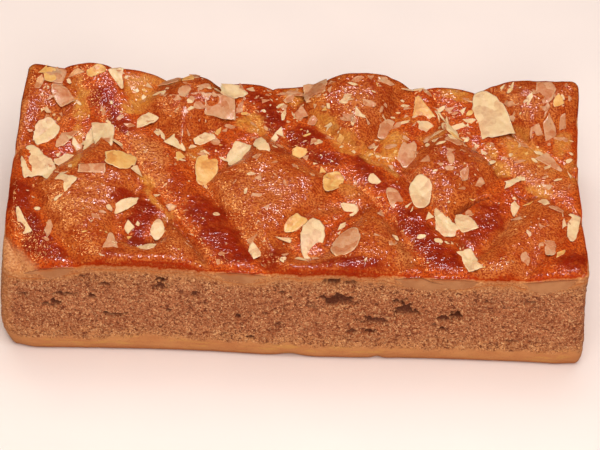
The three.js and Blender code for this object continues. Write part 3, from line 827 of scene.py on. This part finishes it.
def strip_grid(name, v):
    """Places along a strip's lines, from wall to wall, or from a rounded nose inside the bar"""
    line = curve_through(LANES[name], 600)
    run = run_along(line[:, 0], line[:, 1])
    nosed = edge_distance(*LANES[name][0]) > 0
    count = int(run[-1] / STRIP_STEP)
    lines_x, lines_y = [], []
    for share in v:
        x = line[:, 0] - share * HALF_STRIP * np.sin(line[:, 2])
        y = line[:, 1] + share * HALF_STRIP * np.cos(line[:, 2])
        within = edge_distance(x, y)
        inside = np.flatnonzero(within > 0)
        first, last = inside[0], inside[-1]
        if nosed:
            nose = HALF_STRIP * (1 - math.sqrt(max(0.0, 1 - share * share)))
            start = np.interp(nose, run, np.arange(len(run)))
        else:
            start = first - within[first] / (within[first] - within[first - 1])
        end = last + within[last] / (within[last] - within[last + 1])
        at = np.linspace(start, end, count)
        lines_x.append(np.interp(at, np.arange(len(x)), x))
        lines_y.append(np.interp(at, np.arange(len(y)), y))
    return np.array(lines_x), np.array(lines_y), nosed


def push_out(places, x, y, distance):
    """Moves places that lie at a cut wall straight out of it"""
    places[..., 0] += distance * np.where(HALF_LENGTH - np.abs(x) < 1.5, np.sign(x), 0)
    places[..., 1] += distance * np.where(HALF_DEPTH - np.abs(y) < 1.5, np.sign(y), 0)
    return places


def paste_cut_finish():
    """The cut end: glaze fading in from above, smooth beige paste, then crumb from below"""
    f = Finish("cut_almond_paste")
    beige = f.mottled((6, 4), (0.44, 0.165, 0.057), (0.53, 0.225, 0.086), 0.3, 0.7)
    beige = f.mottled((0.9, 4, 0.7), beige, (0.70, 0.38, 0.19), 0.58, 0.76, 0, 0.35)
    ragged = f.sum("ADD", f.look("cut"), f.between(f.noise(2.2, 4, 0.65), 0.2, 0.8, -0.16, 0.16))
    fading = f.sum("ADD", f.look("edge"), f.between(f.noise(2.0, 4, 0.65), 0.2, 0.8, -0.09, 0.09))
    glazed = f.blend(f.between(fading, 0.52, 0.74), (0.36, 0.022, 0.002), (0.53, 0.120, 0.015))
    glazed = f.blend(f.look("corner"), glazed, tan_colour(f))
    colour = f.blend(f.between(fading, 0.58, 0.96), glazed, beige)
    colour = f.blend(f.between(ragged, 0.68, 1.02), colour, crumb_colour(f))
    normal = f.bump(f.noise(0.6, 2, 0.6), 0.5, f.between(ragged, 0.55, 1.0, 0.15, 0.9))
    return f.finish(colour, normal, Roughness=0.7, Specular_IOR_Level=0.35)


strip_glaze = glazed_finish("glazed_paste")
strip_cut = paste_cut_finish()
for name in LANES:
    depth = UPPER_DEPTH if name in UPPER_LANES else LOWER_DEPTH
    v = np.sin(np.linspace(-math.pi / 2, math.pi / 2, STRIP_LINES))
    line_x, line_y, nosed = strip_grid(name, v)
    lines, count = line_x.shape
    top = strip_top(name, line_x, line_y)
    keel = valley_height(line_x, line_y) - 0.5 * roll_off(line_x, line_y)
    keel = keel - depth * np.sqrt(1 - v[:, None] ** 2)
    if nosed:
        keel = np.maximum(keel, top - 0.5 - 0.3 * np.arange(count))
    keel = np.minimum(keel, top - 0.3)
    near_wall = 1 - smooth(edge_distance(line_x, line_y) / 1.5)
    proud = CUT_PROUD - (CUT_PROUD + CUT_SUNK) * np.abs(v[:, None]) ** 5
    upside = np.stack([*wall_place(line_x, line_y, top), top], axis=-1)
    proud = near_wall * (proud - wall_unevenness(line_x, line_y, top))
    upside = push_out(upside, line_x, line_y, proud)
    downside = np.stack([*wall_place(line_x, line_y, keel), keel], axis=-1)
    sunk = near_wall * (-CUT_SUNK - wall_unevenness(line_x, line_y, keel))
    downside = push_out(downside, line_x, line_y, sunk)
    upside, downside = upside.reshape(-1, 3), downside.reshape(-1, 3)
    size = lines * count
    faces = [face[::-1] for face in grid_faces(lines, count)]
    faces += grid_faces(lines, count, start=size)
    for line in (0, lines - 1):
        near = line * count + np.arange(count)
        side = np.column_stack([near[:-1], near[1:], near[1:] + size, near[:-1] + size])
        faces += (side if line == lines - 1 else side[:, ::-1]).tolist()
    looks = {key: np.tile(values.ravel(), 2) for key, values in top_looks(line_x, line_y, top).items()}
    looks["cut"] = np.zeros(2 * size)
    places = [upside, downside]
    cut_start = len(faces)
    made = 2 * size
    for end in (0, count - 1):
        near = np.arange(lines) * count + end
        end_x, end_y = line_x[:, end], line_y[:, end]
        cut_rows = [near]
        for row in range(1, CUT_ROWS):
            share = row / CUT_ROWS
            places.append(upside[near] * (1 - share ** 2) + downside[near] * share ** 2)
            places[-1][:, 2] = upside[near, 2] * (1 - share) + downside[near, 2] * share
            cut_rows.append(made + np.arange(lines))
            made += lines
            cut_looks = {"cut": np.full(lines, share), "edge": glaze_edge(end_x, end_y, places[-1][:, 2])}
            for key, values in looks.items():
                looks[key] = np.concatenate([values, cut_looks.get(key, values[near])])
        cut_rows.append(near + size)
        looks["cut"][near + size] = 1.0
        looks["edge"][near + size] = glaze_edge(end_x, end_y, downside[near, 2])
        for above, below in zip(cut_rows, cut_rows[1:]):
            side = np.column_stack([above[:-1], above[1:], below[1:], below[:-1]])
            faces += (side if end == 0 else side[:, ::-1]).tolist()
    strip = add_piece(f"paste_{name}", np.vstack(places), faces, looks)
    strip.data.materials.append(strip_glaze)
    strip.data.materials.append(strip_cut)
    on_cut = np.arange(len(faces)) >= cut_start
    strip.data.polygons.foreach_set("material_index", on_cut.astype(np.int32))
    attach(strip, "root")
    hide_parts(name)

# ---------------------------------------------------------------------------------------------
# The flaked almonds
# Blanched almonds cut in slices half a millimetre thick and strewn over the warm glaze. Many have
# snapped. Each rests on what lies under it, and the glaze has soaked and browned some of them.
# ---------------------------------------------------------------------------------------------
FLAKE_THICKNESS = 0.45
SUNK = 0.26
STEEPEST = 0.42
LEAN_BACK = 0.10
SAG = 0.45
FLAKE_SPOKES = 48
# Rings of points on each face, as shares of the way out to the outline
FLAKE_RINGS = [0.25, 0.5, 0.72, 0.88, 0.965, 1.0]

ground = Chart(crust_height(chart_x, chart_y))
for name in LANES:
    on_strip = lane_distance[name].values < HALF_STRIP
    raised = np.maximum(ground.values, strip_top(name, chart_x, chart_y))
    ground.values = np.where(on_strip, raised, ground.values)


def build_up(places):
    """Adds laid pieces to the ground, so that later ones rest on them"""
    column = np.clip(np.rint((places[:, 0] - Chart.X[0]) / Chart.STEP).astype(int), 0, len(Chart.X) - 1)
    row = np.clip(np.rint((places[:, 1] - Chart.Y[0]) / Chart.STEP).astype(int), 0, len(Chart.Y) - 1)
    np.maximum.at(ground.values, (row, column), places[:, 2])


def resting_slopes(x, y, height):
    """The slopes of the plane that a stiff slice rests in, over places round its middle"""
    i, j, k = np.array(list(itertools.combinations(range(len(x)), 3))).T
    area = (x[j] - x[i]) * (y[k] - y[i]) - (x[k] - x[i]) * (y[j] - y[i])
    safe = np.where(np.abs(area) < 1e-9, 1e-9, area)
    share_i = (x[j] * y[k] - x[k] * y[j]) / safe
    share_j = (x[k] * y[i] - x[i] * y[k]) / safe
    share_k = 1 - share_i - share_j
    round_middle = np.minimum(np.minimum(share_i, share_j), share_k) >= 0
    round_middle &= np.abs(area) > 0.05 * np.abs(area).max()
    level = np.where(round_middle, share_i * height[i] + share_j * height[j] + share_k * height[k], -1e9)
    best = int(np.argmax(level))
    a, b, c = i[best], j[best], k[best]
    rise_b, rise_c = height[b] - height[a], height[c] - height[a]
    slope_x = (rise_b * (y[c] - y[a]) - rise_c * (y[b] - y[a])) / safe[best]
    slope_y = ((x[b] - x[a]) * rise_c - (x[c] - x[a]) * rise_b) / safe[best]
    return slope_x, slope_y


def ripple(u, v, seed):
    """The slight waves of a dried slice"""
    places = np.stack([u, v], axis=-1)
    return 0.12 * grain(places, 2.6, seed) + 0.3 * grain(places, 6, seed + 1)


def flake_body(radius, bend, curl, seed):
    """A slice: rings of points out to its outline on both faces, its rim rounded, bent and rippled"""
    count = len(radius)
    half = FLAKE_THICKNESS / 2
    turn = np.linspace(0, 2 * math.pi, count, endpoint=False)
    places, looks = [], []
    reach = max(radius)
    for side in (1, -1):
        for ring in FLAKE_RINGS if side > 0 else FLAKE_RINGS[:-1]:
            u, v = radius * ring * np.cos(turn), radius * ring * np.sin(turn)
            lift = bend * (u / reach) ** 2 + curl * (v / reach) ** 2 + ripple(u, v, seed)
            rim = math.sqrt(max(0.0, 1 - max(0.0, (ring - 0.80) / 0.20) ** 2.4))
            places.append(np.column_stack([u, v, lift + side * half * rim]))
            looks.append(np.full(count, ring))
    middle_lift = ripple(np.zeros(1), np.zeros(1), seed)[0]
    centre = np.array([[0, 0, middle_lift + half], [0, 0, middle_lift - half]])
    rings = [k * count + np.arange(count) for k in range(len(places))]
    top, under = rings[:len(FLAKE_RINGS)], rings[len(FLAKE_RINGS):]
    faces = []
    for inner, outer in zip(top, top[1:]):
        faces += np.column_stack([inner, outer, np.roll(outer, -1), np.roll(inner, -1)]).tolist()
    for inner, outer in zip(under, under[1:] + [top[-1]]):
        faces += np.column_stack([inner, np.roll(inner, -1), np.roll(outer, -1), outer]).tolist()
    middle = len(places) * count
    faces += [[middle, a, b] for a, b in zip(top[0], np.roll(top[0], -1))]
    faces += [[middle + 1, b, a] for a, b in zip(under[0], np.roll(under[0], -1))]
    return np.vstack([*places, centre]), faces, np.concatenate([*looks, [0, 0]])


def set_down(places, x, y, turn):
    """A piece's places in plan, once it is turned and moved to its spot"""
    return (x + places[:, 0] * math.cos(turn) - places[:, 1] * math.sin(turn),
            y + places[:, 0] * math.sin(turn) + places[:, 1] * math.cos(turn))


def lay(places, x, y, turn):
    """Turns a slice, rests it on the ground under it, and adds it to the ground"""
    flat_x, flat_y = set_down(places, x, y, turn)
    pick = np.linspace(0, len(places) - 1, 30).astype(int)
    lowest = ground(flat_x[pick], flat_y[pick]) - places[pick, 2] * 0.6
    slope_x, slope_y = resting_slopes(flat_x[pick] - x, flat_y[pick] - y, lowest)
    ease = min(1, STEEPEST / max(math.hypot(slope_x, slope_y), 1e-9))
    slope_x, slope_y = slope_x * ease, max(slope_y * ease, -LEAN_BACK)
    level = np.percentile(lowest - slope_x * (flat_x[pick] - x) - slope_y * (flat_y[pick] - y), 84)
    up = Vector((-slope_x, -slope_y, 1)).normalized()
    tilt = Vector((0, 0, 1)).rotation_difference(up).to_matrix()
    turned = np.column_stack([flat_x - x, flat_y - y, places[:, 2]]) @ np.array(tilt).T
    laid = turned + [x, y, level + FLAKE_THICKNESS / 2 - SUNK]
    laid[:, 2] -= SAG * np.maximum(0, laid[:, 2] - ground(laid[:, 0], laid[:, 1]) - 0.5)
    build_up(laid)
    return laid


def node_outline(name):
    """Middle, turn and outline of a CAD flake: its reach along each spoke, seen square on"""
    mesh = frame["nodes"][name].data
    points = np.unique(np.round(np.array([tuple(vertex.co) for vertex in mesh.vertices]) / MM, 2), axis=0)
    middle = points.mean(0)
    _, _, axes = np.linalg.svd(points - middle)
    long_way, wide_way = axes[0], axes[1]
    u, v = (points - middle) @ long_way, (points - middle) @ wide_way
    order = np.argsort(np.arctan2(v, u))
    u, v = u[order], v[order]
    from_u, to_u = np.repeat(u, 12), np.repeat(np.roll(u, -1), 12)
    from_v, to_v = np.repeat(v, 12), np.repeat(np.roll(v, -1), 12)
    share = np.tile(np.arange(12) / 12, len(u))
    edge_u, edge_v = from_u + (to_u - from_u) * share, from_v + (to_v - from_v) * share
    spokes = np.linspace(0, 2 * math.pi, FLAKE_SPOKES, endpoint=False)
    spoke = (np.arctan2(edge_v, edge_u) % (2 * math.pi) / (2 * math.pi) * FLAKE_SPOKES).astype(int)
    reach = np.zeros(FLAKE_SPOKES)
    np.maximum.at(reach, spoke, np.hypot(edge_u, edge_v))
    known = reach > 0
    reach = np.interp(spokes, spokes[known], reach[known], period=2 * math.pi)
    handed = long_way[0] * wide_way[1] - long_way[1] * wide_way[0] > 0
    return middle, math.atan2(long_way[1], long_way[0]), reach if handed else np.roll(reach[::-1], 1)


def almond_finish(name, light, deep, soaked, dry_share, rough):
    """A slice of almond: creamy where dry, browner and clearer where glaze soaked in, its rim paler"""
    f = Finish(name)
    colour = f.mottled((3.2, 4, 0.6), light, deep, 0.32, 0.68)
    wet = f.between(f.noise(8, 2, 0.5), dry_share, dry_share + 0.03, 0, 0.92)
    inner = f.between(f.look("rim"), 0.84, 0.99, 1, 0.25)
    browner = f.mottled((2.4, 4), soaked, deep, 0.3, 0.7)
    colour = f.blend(f.sum("MULTIPLY", wet, inner), colour, browner)
    colour = f.mottled((1.0, 4, 0.7, (1, 0.4, 1)), colour, deep, 0.48, 0.72, 0, 0.4)
    colour = f.blend(f.between(f.look("rim"), 0.90, 0.98, 0, 0.45), colour, (0.80, 0.53, 0.30))
    normal = f.bump(f.noise(1.6, 3, 0.6, (1, 0.5, 1)), 0.35, 0.6)
    f.wire((1.0, 0.6, 0.35), f.shader.inputs["Subsurface Radius"])
    return f.finish(colour, normal, Roughness=rough, IOR=1.5,
                    Subsurface_Weight=0.35, Subsurface_Scale=0.0012)


ALMOND = {
    "almond_pale": almond_finish(
        "pale_almond", light=(0.82, 0.56, 0.305), deep=(0.74, 0.46, 0.235), soaked=(0.60, 0.31, 0.155),
        dry_share=0.52, rough=0.42),
    "almond_golden": almond_finish(
        "golden_almond", light=(0.81, 0.47, 0.165), deep=(0.74, 0.34, 0.080), soaked=(0.58, 0.21, 0.050),
        dry_share=0.54, rough=0.34),
    "almond_glazed": almond_finish(
        "glazed_almond", light=(0.67, 0.35, 0.19), deep=(0.59, 0.25, 0.115), soaked=(0.49, 0.145, 0.050),
        dry_share=0.50, rough=0.26),
}
node_slot = {part["node"]: part["material_slot"] for part in frame["record"]["subparts"]}
for number, name in enumerate(sorted(node for node in frame["nodes"] if node.startswith("almond_flake"))):
    middle, turn, reach = node_outline(name)
    seed = 100 + number * 3
    spokes = np.linspace(0, 2 * math.pi, FLAKE_SPOKES, endpoint=False)
    circle = np.column_stack([np.cos(spokes), np.sin(spokes)])
    chips = 0.05 * grain(circle * 3, 1.1, seed)
    chips -= 0.13 * np.maximum(0, grain(circle * 7, 1.1, seed + 2) - 0.2)
    bend, curl = 0.9 * math.sin(number * 2.4), 0.5 * math.cos(number * 1.7)
    body, faces, rim = flake_body(reach * (1 + chips), bend, curl, seed)
    laid = lay(body, middle[0], middle[1], turn)
    flake = add_piece(f"laid_{name}", laid, faces, {"rim": rim})
    flake.data.materials.append(ALMOND[node_slot[name]])
    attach(flake, "root")
    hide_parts(name)

# ---------------------------------------------------------------------------------------------
# Broken almond
# Splinters, chips and dust from the same bag of flaked almonds, caught in the glaze, singly and in
# little heaps. They lie thickest at the back.
# ---------------------------------------------------------------------------------------------
# Pieces that stand out: x, y, width, length, turn in degrees
PIECES = {
    "almond_pale": [
        (-81, 16, 5, 6, 20), (-71, -3, 6, 8, 100), (-103, -5, 8, 9, 45), (-72, -39, 5, 9, 100),
        (-61, 31, 4.5, 13, -20), (-65, 26, 3, 9, -60), (-62, 24, 2, 9, -70), (-9, 28, 5, 8, 100),
        (-8, 40, 2.5, 9, 85), (-18, -50, 5, 12, 105), (-6, -43, 4.5, 8, 170), (-5, -57, 3, 4, 80),
        (3, -56, 6, 7, 80), (23, -22, 6, 9, -60), (20, -33, 2.6, 7, 50), (33, -3, 5, 9, -60),
        (57, -25, 5, 7, 90), (43, -39, 3, 5, -30), (56, 36, 6, 8, 60), (62, 43, 1.4, 9, -75),
        (64, 41, 1.4, 9, -68), (66, 40, 1.4, 8, -80), (66, 34, 4.5, 8, 60), (61, 29, 4, 8, 15),
        (71, 36, 5, 6, -20), (76, 27, 2.5, 10, -40), (82, 20, 2.5, 5, -70), (58, 22, 4, 7, 10),
        (103, 49, 3, 8, 75), (95, 0, 5, 10, 10), (95, -17, 4, 9, 80), (108, -14, 5, 6, 40),
        (116, -28, 2.5, 11, 95), (-63, 46, 2.5, 7, 80), (-70, 53, 3.4, 4, 0), (-98, 63, 4, 7, 20),
        (-90, 62, 4, 6, -30), (-48, 17, 3, 4, 0), (-53, 22, 1.5, 6, 80), (-42, 13, 3, 7, -20),
        (-35, -28, 2.5, 3, 30), (-113, -29, 3, 3, 0), (48, -20, 1.2, 8, 60), (50, -22, 1.2, 6, 75),
        (33, 17, 1.6, 8, 55), (38, 12, 1.2, 4, 0), (46, 37, 2, 6, 20), (47, 49, 3, 4, 0),
        (48, 59, 2, 6, 10), (73, 46, 3, 6, 70), (76, 40, 4, 6, 0), (86, 14, 2, 4, 20),
        (95, 57, 1.5, 5, 70), (96, 62, 1.2, 4, 60), (124, -51, 2.5, 4, -60), (92, -3, 5, 6, 0),
        (98, 2, 4, 6, 30), (120, 5, 1.6, 8, 100), (25, 36, 4, 10, -50), (20, 43, 5, 7, 30),
        (53, 60, 2, 7, 20), (-10, 46, 2, 6, 60), (63, 48, 3, 5, 40), (-57, 33, 2, 6, 40),
        (-50, 35, 1.6, 5, 50), (-99, 8, 3, 8, 80), (-100, 15, 3, 9, 100), (-114, 33, 3, 4, 0),
        (81, 52, 3, 5, 30), (68, 24, 3, 6, -20),
    ],
    "almond_golden": [
        (-52, 56, 6, 8, 60), (-53, 10, 5, 8, 80), (0, 15, 7, 9, -20), (10, 4, 3, 8, -30),
        (69, 27, 4, 8, -10), (101, -14, 2.5, 6, 30), (114, -47, 3.5, 7, 65), (-55, -39, 3, 6, 20),
        (-37, 28, 2.5, 6, 80), (18, 24, 3, 5, 100), (116, 48, 5, 9, 70), (-100, 4, 3, 6, 80),
        (-118, 57, 6, 8, 70), (3, 26, 2, 5, 30), (76, 45, 3, 5, 60),
    ],
    "almond_glazed": [
        (68, 22, 6, 8, -10), (110, 45, 4, 12, 85), (56, 8, 5, 8, 65), (67, 9, 4, 9, 100),
        (73, 0, 4, 8, 80), (113, -18, 5, 7, -10), (99, -50, 4, 10, 80), (96, -24, 3, 6, -30),
        (-120, 48, 7, 10, 75), (-107, -41, 3, 12, 85), (-103, 57, 8, 11, 60), (21, 64, 4, 11, 5),
        (22, 33, 4, 8, -40), (25, 57, 3, 7, 30), (0, 41, 6, 11, 80), (-6, 56, 7, 18, -25),
        (-53, 46, 6, 8, 60), (-84, 60, 4, 6, 0), (-28, 45, 3.5, 8, 80), (-29, -10, 2.5, 7, 60),
        (-17, -6, 4, 7, 70), (-18, -18, 4, 6, 30), (-13, -26, 3, 6, 80), (-17, -35, 3, 4, 0),
        (-87, -35, 3, 4, 0), (-19, -43, 4, 7, 60), (-31, -53, 3, 4, 0), (37, -24, 4, 6, 70),
        (43, 35, 3, 7, 60), (67, 48, 4, 5, 30), (106, 32, 5, 9, 60), (57, 58, 3, 6, -50),
        (110, -40, 4, 7, -30), (106, -42, 3, 6, 70), (35, -42, 3, 3, 0), (72, -8, 1.5, 4, 30),
        (-46, 38, 4, 6, 20), (-57, 41, 4, 7, -30), (30, 42, 4, 6, 0), (13, 50, 4, 7, 60),
        (38, 58, 4, 8, 10), (118, 40, 4, 8, 80), (62, 5, 3, 5, 40), (80, -2, 4, 6, 60),
        (105, -32, 4, 5, 20), (101, 57, 9, 15, 30), (117, 57, 8, 12, 80), (112, 36, 6, 14, 95),
        (-111, 55, 9, 13, 60), (-60, 57, 6, 12, 20), (-112, 58, 5, 8, 80), (-76, 60, 4, 6, 20),
        (-45, 50, 4, 7, 40), (5, 36, 4, 6, 70), (88, 62, 4, 9, 20),
    ],
}
# Small ones strewn at random: how many, smallest and largest
SCATTER = {
    "almond_pale": (190, 1.3, 4.8),
    "almond_golden": (40, 1.3, 3.8),
    "almond_glazed": (260, 1.5, 6.4),
}
DUST_COUNT = 50
DUST_SIZES = (0.6, 1.2)
BARE_RIM = 3
BARE_FRONT = 4
RIM_RING = 0.86
RIM_LOOK = 0.8
THICKEST_CHIP = 0.6


def chip_body(length, width, thickness, rng):
    """A small broken piece: a few corners joined by rough breaks, two flat faces and a worn rim"""
    corners = rng.integers(3, 7)
    turn = (np.arange(corners) + rng.uniform(-0.35, 0.35, corners)) / corners * 2 * math.pi
    reach = rng.uniform(0.85, 1.2, corners)
    u, v = reach * np.cos(turn) * length / 2, reach * np.sin(turn) * width / 2
    break_u, break_v = (u + np.roll(u, -1)) / 2, (v + np.roll(v, -1)) / 2
    jut = 1 + rng.uniform(-0.14, 0.22, corners)
    u = np.column_stack([u, break_u * jut]).ravel()
    v = np.column_stack([v, break_v * jut]).ravel()
    count = 2 * corners
    bow = rng.uniform(-0.3, 0.5) * (2 * u / length) ** 2 * min(1.0, length / 6)
    half = thickness / 2
    inner_u, inner_v, inner_bow = u * RIM_RING, v * RIM_RING, bow * RIM_RING ** 2
    places = np.vstack([
        np.column_stack([inner_u, inner_v, inner_bow + half]), np.column_stack([u, v, bow]),
        np.column_stack([inner_u, inner_v, inner_bow - half]), [0, 0, half], [0, 0, -half],
    ])
    faces = [face[::-1] for face in grid_faces(3, count, closed=True)]
    ring = np.arange(count)
    after = np.roll(ring, -1)
    middle = np.full(count, 3 * count)
    faces += np.column_stack([middle, ring, after]).tolist()
    faces += np.column_stack([middle + 1, after + 2 * count, ring + 2 * count]).tolist()
    rim = np.concatenate([np.full(count, RIM_LOOK), np.ones(count), np.full(count, RIM_LOOK), [0, 0]])
    return places, faces, rim


def anywhere(rng):
    """A random spot on the top, clear of its edges"""
    return (rng.uniform(-HALF_LENGTH + BARE_RIM, HALF_LENGTH - BARE_RIM),
            rng.uniform(-HALF_DEPTH + BARE_FRONT, HALF_DEPTH - BARE_RIM))


rng = np.random.default_rng(97)
for kind, placed in PIECES.items():
    chips = [(x, y, width, length, math.radians(degrees)) for x, y, width, length, degrees in placed]
    count, small, large = SCATTER[kind]
    while len(chips) < len(placed) + count:
        x, y = anywhere(rng)
        if rng.random() < 0.15 + 0.85 * smooth((y + 30) / 70):
            size = small + (large - small) * rng.random() ** 1.5
            chips.append((x, y, size * rng.uniform(0.25, 0.8), size, rng.uniform(0, math.pi)))
    for _ in range(DUST_COUNT):
        size = rng.uniform(*DUST_SIZES)
        chips.append((*anywhere(rng), size * 0.8, size, 0))
    places, faces, rims, start = [], [], [], 0
    for x, y, width, length, turn in chips:
        body, body_faces, rim = chip_body(length, width, min(THICKEST_CHIP, 0.22 + width * 0.06), rng)
        far_x, far_y = set_down(body, x, y, turn)
        if edge_distance(far_x, far_y).min() < 0.6:
            continue
        lean = np.column_stack([far_x - x, far_y - y, np.ones(len(far_x))])
        height = ground(far_x, far_y)
        plane = lean @ np.linalg.lstsq(lean, height, rcond=None)[0]
        lift = np.percentile(height - plane, 70) + rng.uniform(-0.12, 0.05)
        laid = np.column_stack([far_x, far_y, body[:, 2] + plane + lift])
        build_up(laid)
        places.append(laid)
        rims.append(rim)
        faces.extend([[corner + start for corner in face] for face in body_faces])
        start += len(laid)
    looks = {"rim": np.concatenate(rims)}
    bits = add_piece(f"broken_{kind}", np.vstack(places), faces, looks, soft=False)
    bits.data.materials.append(ALMOND[kind])
    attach(bits, "root")

# ---------------------------------------------------------------------------------------------
# The studio
# A plain pale table under three broad soft lamps. They, the table and the pale surroundings leave
# no shine of their own: the glaze glints only from two small lamps behind, one pale and one warm.
# ---------------------------------------------------------------------------------------------
TABLE_HALF = 3.0
TABLE_GAP = 0.0002
table_corners = [(-TABLE_HALF, -TABLE_HALF), (TABLE_HALF, -TABLE_HALF), (TABLE_HALF, TABLE_HALF),
                 (-TABLE_HALF, TABLE_HALF)]
table_mesh = bpy.data.meshes.new("table")
table_mesh.from_pydata([(x, y, 0) for x, y in table_corners], [], [(0, 1, 2, 3)])
table = bpy.data.objects.new("table", table_mesh)
table.location.z = -TABLE_GAP
bpy.context.scene.collection.objects.link(table)
f = Finish("pale_table")
cloudy = f.mottled((60, 2), (0.86, 0.745, 0.69), (0.88, 0.76, 0.70), 0.3, 0.7)
table_mesh.materials.append(f.finish(cloudy, Roughness=0.6))
table.visible_glossy = False

world = bpy.data.worlds.new("studio")
world.use_nodes = True
surroundings = world.node_tree.nodes["Background"]
surroundings.inputs["Color"].default_value = (1.0, 0.93, 0.90, 1)
surroundings.inputs["Strength"].default_value = 0.16
bpy.context.scene.world = world
world.cycles_visibility.glossy = False


def add_light(name, place, aim, size, power, colour, glints):
    """A lamp that either lights the scene softly or only glints in the glaze"""
    light = bpy.data.lights.new(name, "AREA")
    light.shape = "RECTANGLE"
    light.size, light.size_y = size
    light.energy = power
    light.color = colour
    lamp = bpy.data.objects.new(name, light)
    lamp.location = place
    lamp.visible_glossy = glints
    lamp.visible_diffuse = not glints
    lamp.rotation_euler = (Vector(aim) - Vector(place)).to_track_quat("-Z", "Y").to_euler()
    bpy.context.scene.collection.objects.link(lamp)


SOFT_WHITE = (1.0, 0.96, 0.93)
PALE = (0.96, 0.90, 0.96)
WARM = (1.0, 0.66, 0.24)
add_light("front_overhead", (0.1, -0.50, 1.1), (0, 0, 0.03), (0.9, 0.6), 8.0, SOFT_WHITE, False)
add_light("overhead", (0, 0.40, 1.25), (0, 0.05, 0.03), (1.6, 1.1), 10.5, SOFT_WHITE, False)
add_light("pale_glitter", (0.06, 0.36, 1.05), (0, 0, 0.05), (0.18, 0.16), 4.7, PALE, True)
add_light("warm_glitter", (-0.55, 0.62, 0.80), (-0.03, 0, 0.05), (0.16, 0.16), 2.8, WARM, True)
add_light("near_camera", (0.15, -1.0, 0.85), (0, 0, 0.03), (0.5, 0.4), 5.9, SOFT_WHITE, False)

# Camera: well back with a long lens, looking down at the front cut, turned a hair to the right
ELEVATION = math.radians(44.0)
YAW = math.radians(0.81)
ROLL = math.radians(1.37)
DISTANCE = 1.312
FOCAL_SHARE = 2951 / 600
SENSOR_WIDTH = 36
TARGET = Vector((0.0012, -0.0100, 0.0285))
level = math.cos(ELEVATION)
back = Vector((math.sin(YAW) * level, -math.cos(YAW) * level, math.sin(ELEVATION)))
right = Vector((math.cos(YAW), math.sin(YAW), 0))
up = back.cross(right)
across = math.cos(ROLL) * right + math.sin(ROLL) * up
upward_way = math.cos(ROLL) * up - math.sin(ROLL) * right
camera_data = bpy.data.cameras.new("camera")
camera_data.sensor_width = SENSOR_WIDTH
camera_data.lens = SENSOR_WIDTH * FOCAL_SHARE
camera_data.clip_start = 0.05
camera_data.clip_end = 20
camera = bpy.data.objects.new("camera", camera_data)
aimed = Matrix((across, upward_way, back)).transposed().to_4x4()
camera.matrix_world = Matrix.Translation(TARGET + back * DISTANCE) @ aimed
bpy.context.scene.collection.objects.link(camera)
bpy.context.scene.camera = camera
bpy.context.scene.view_settings.view_transform = "Standard"
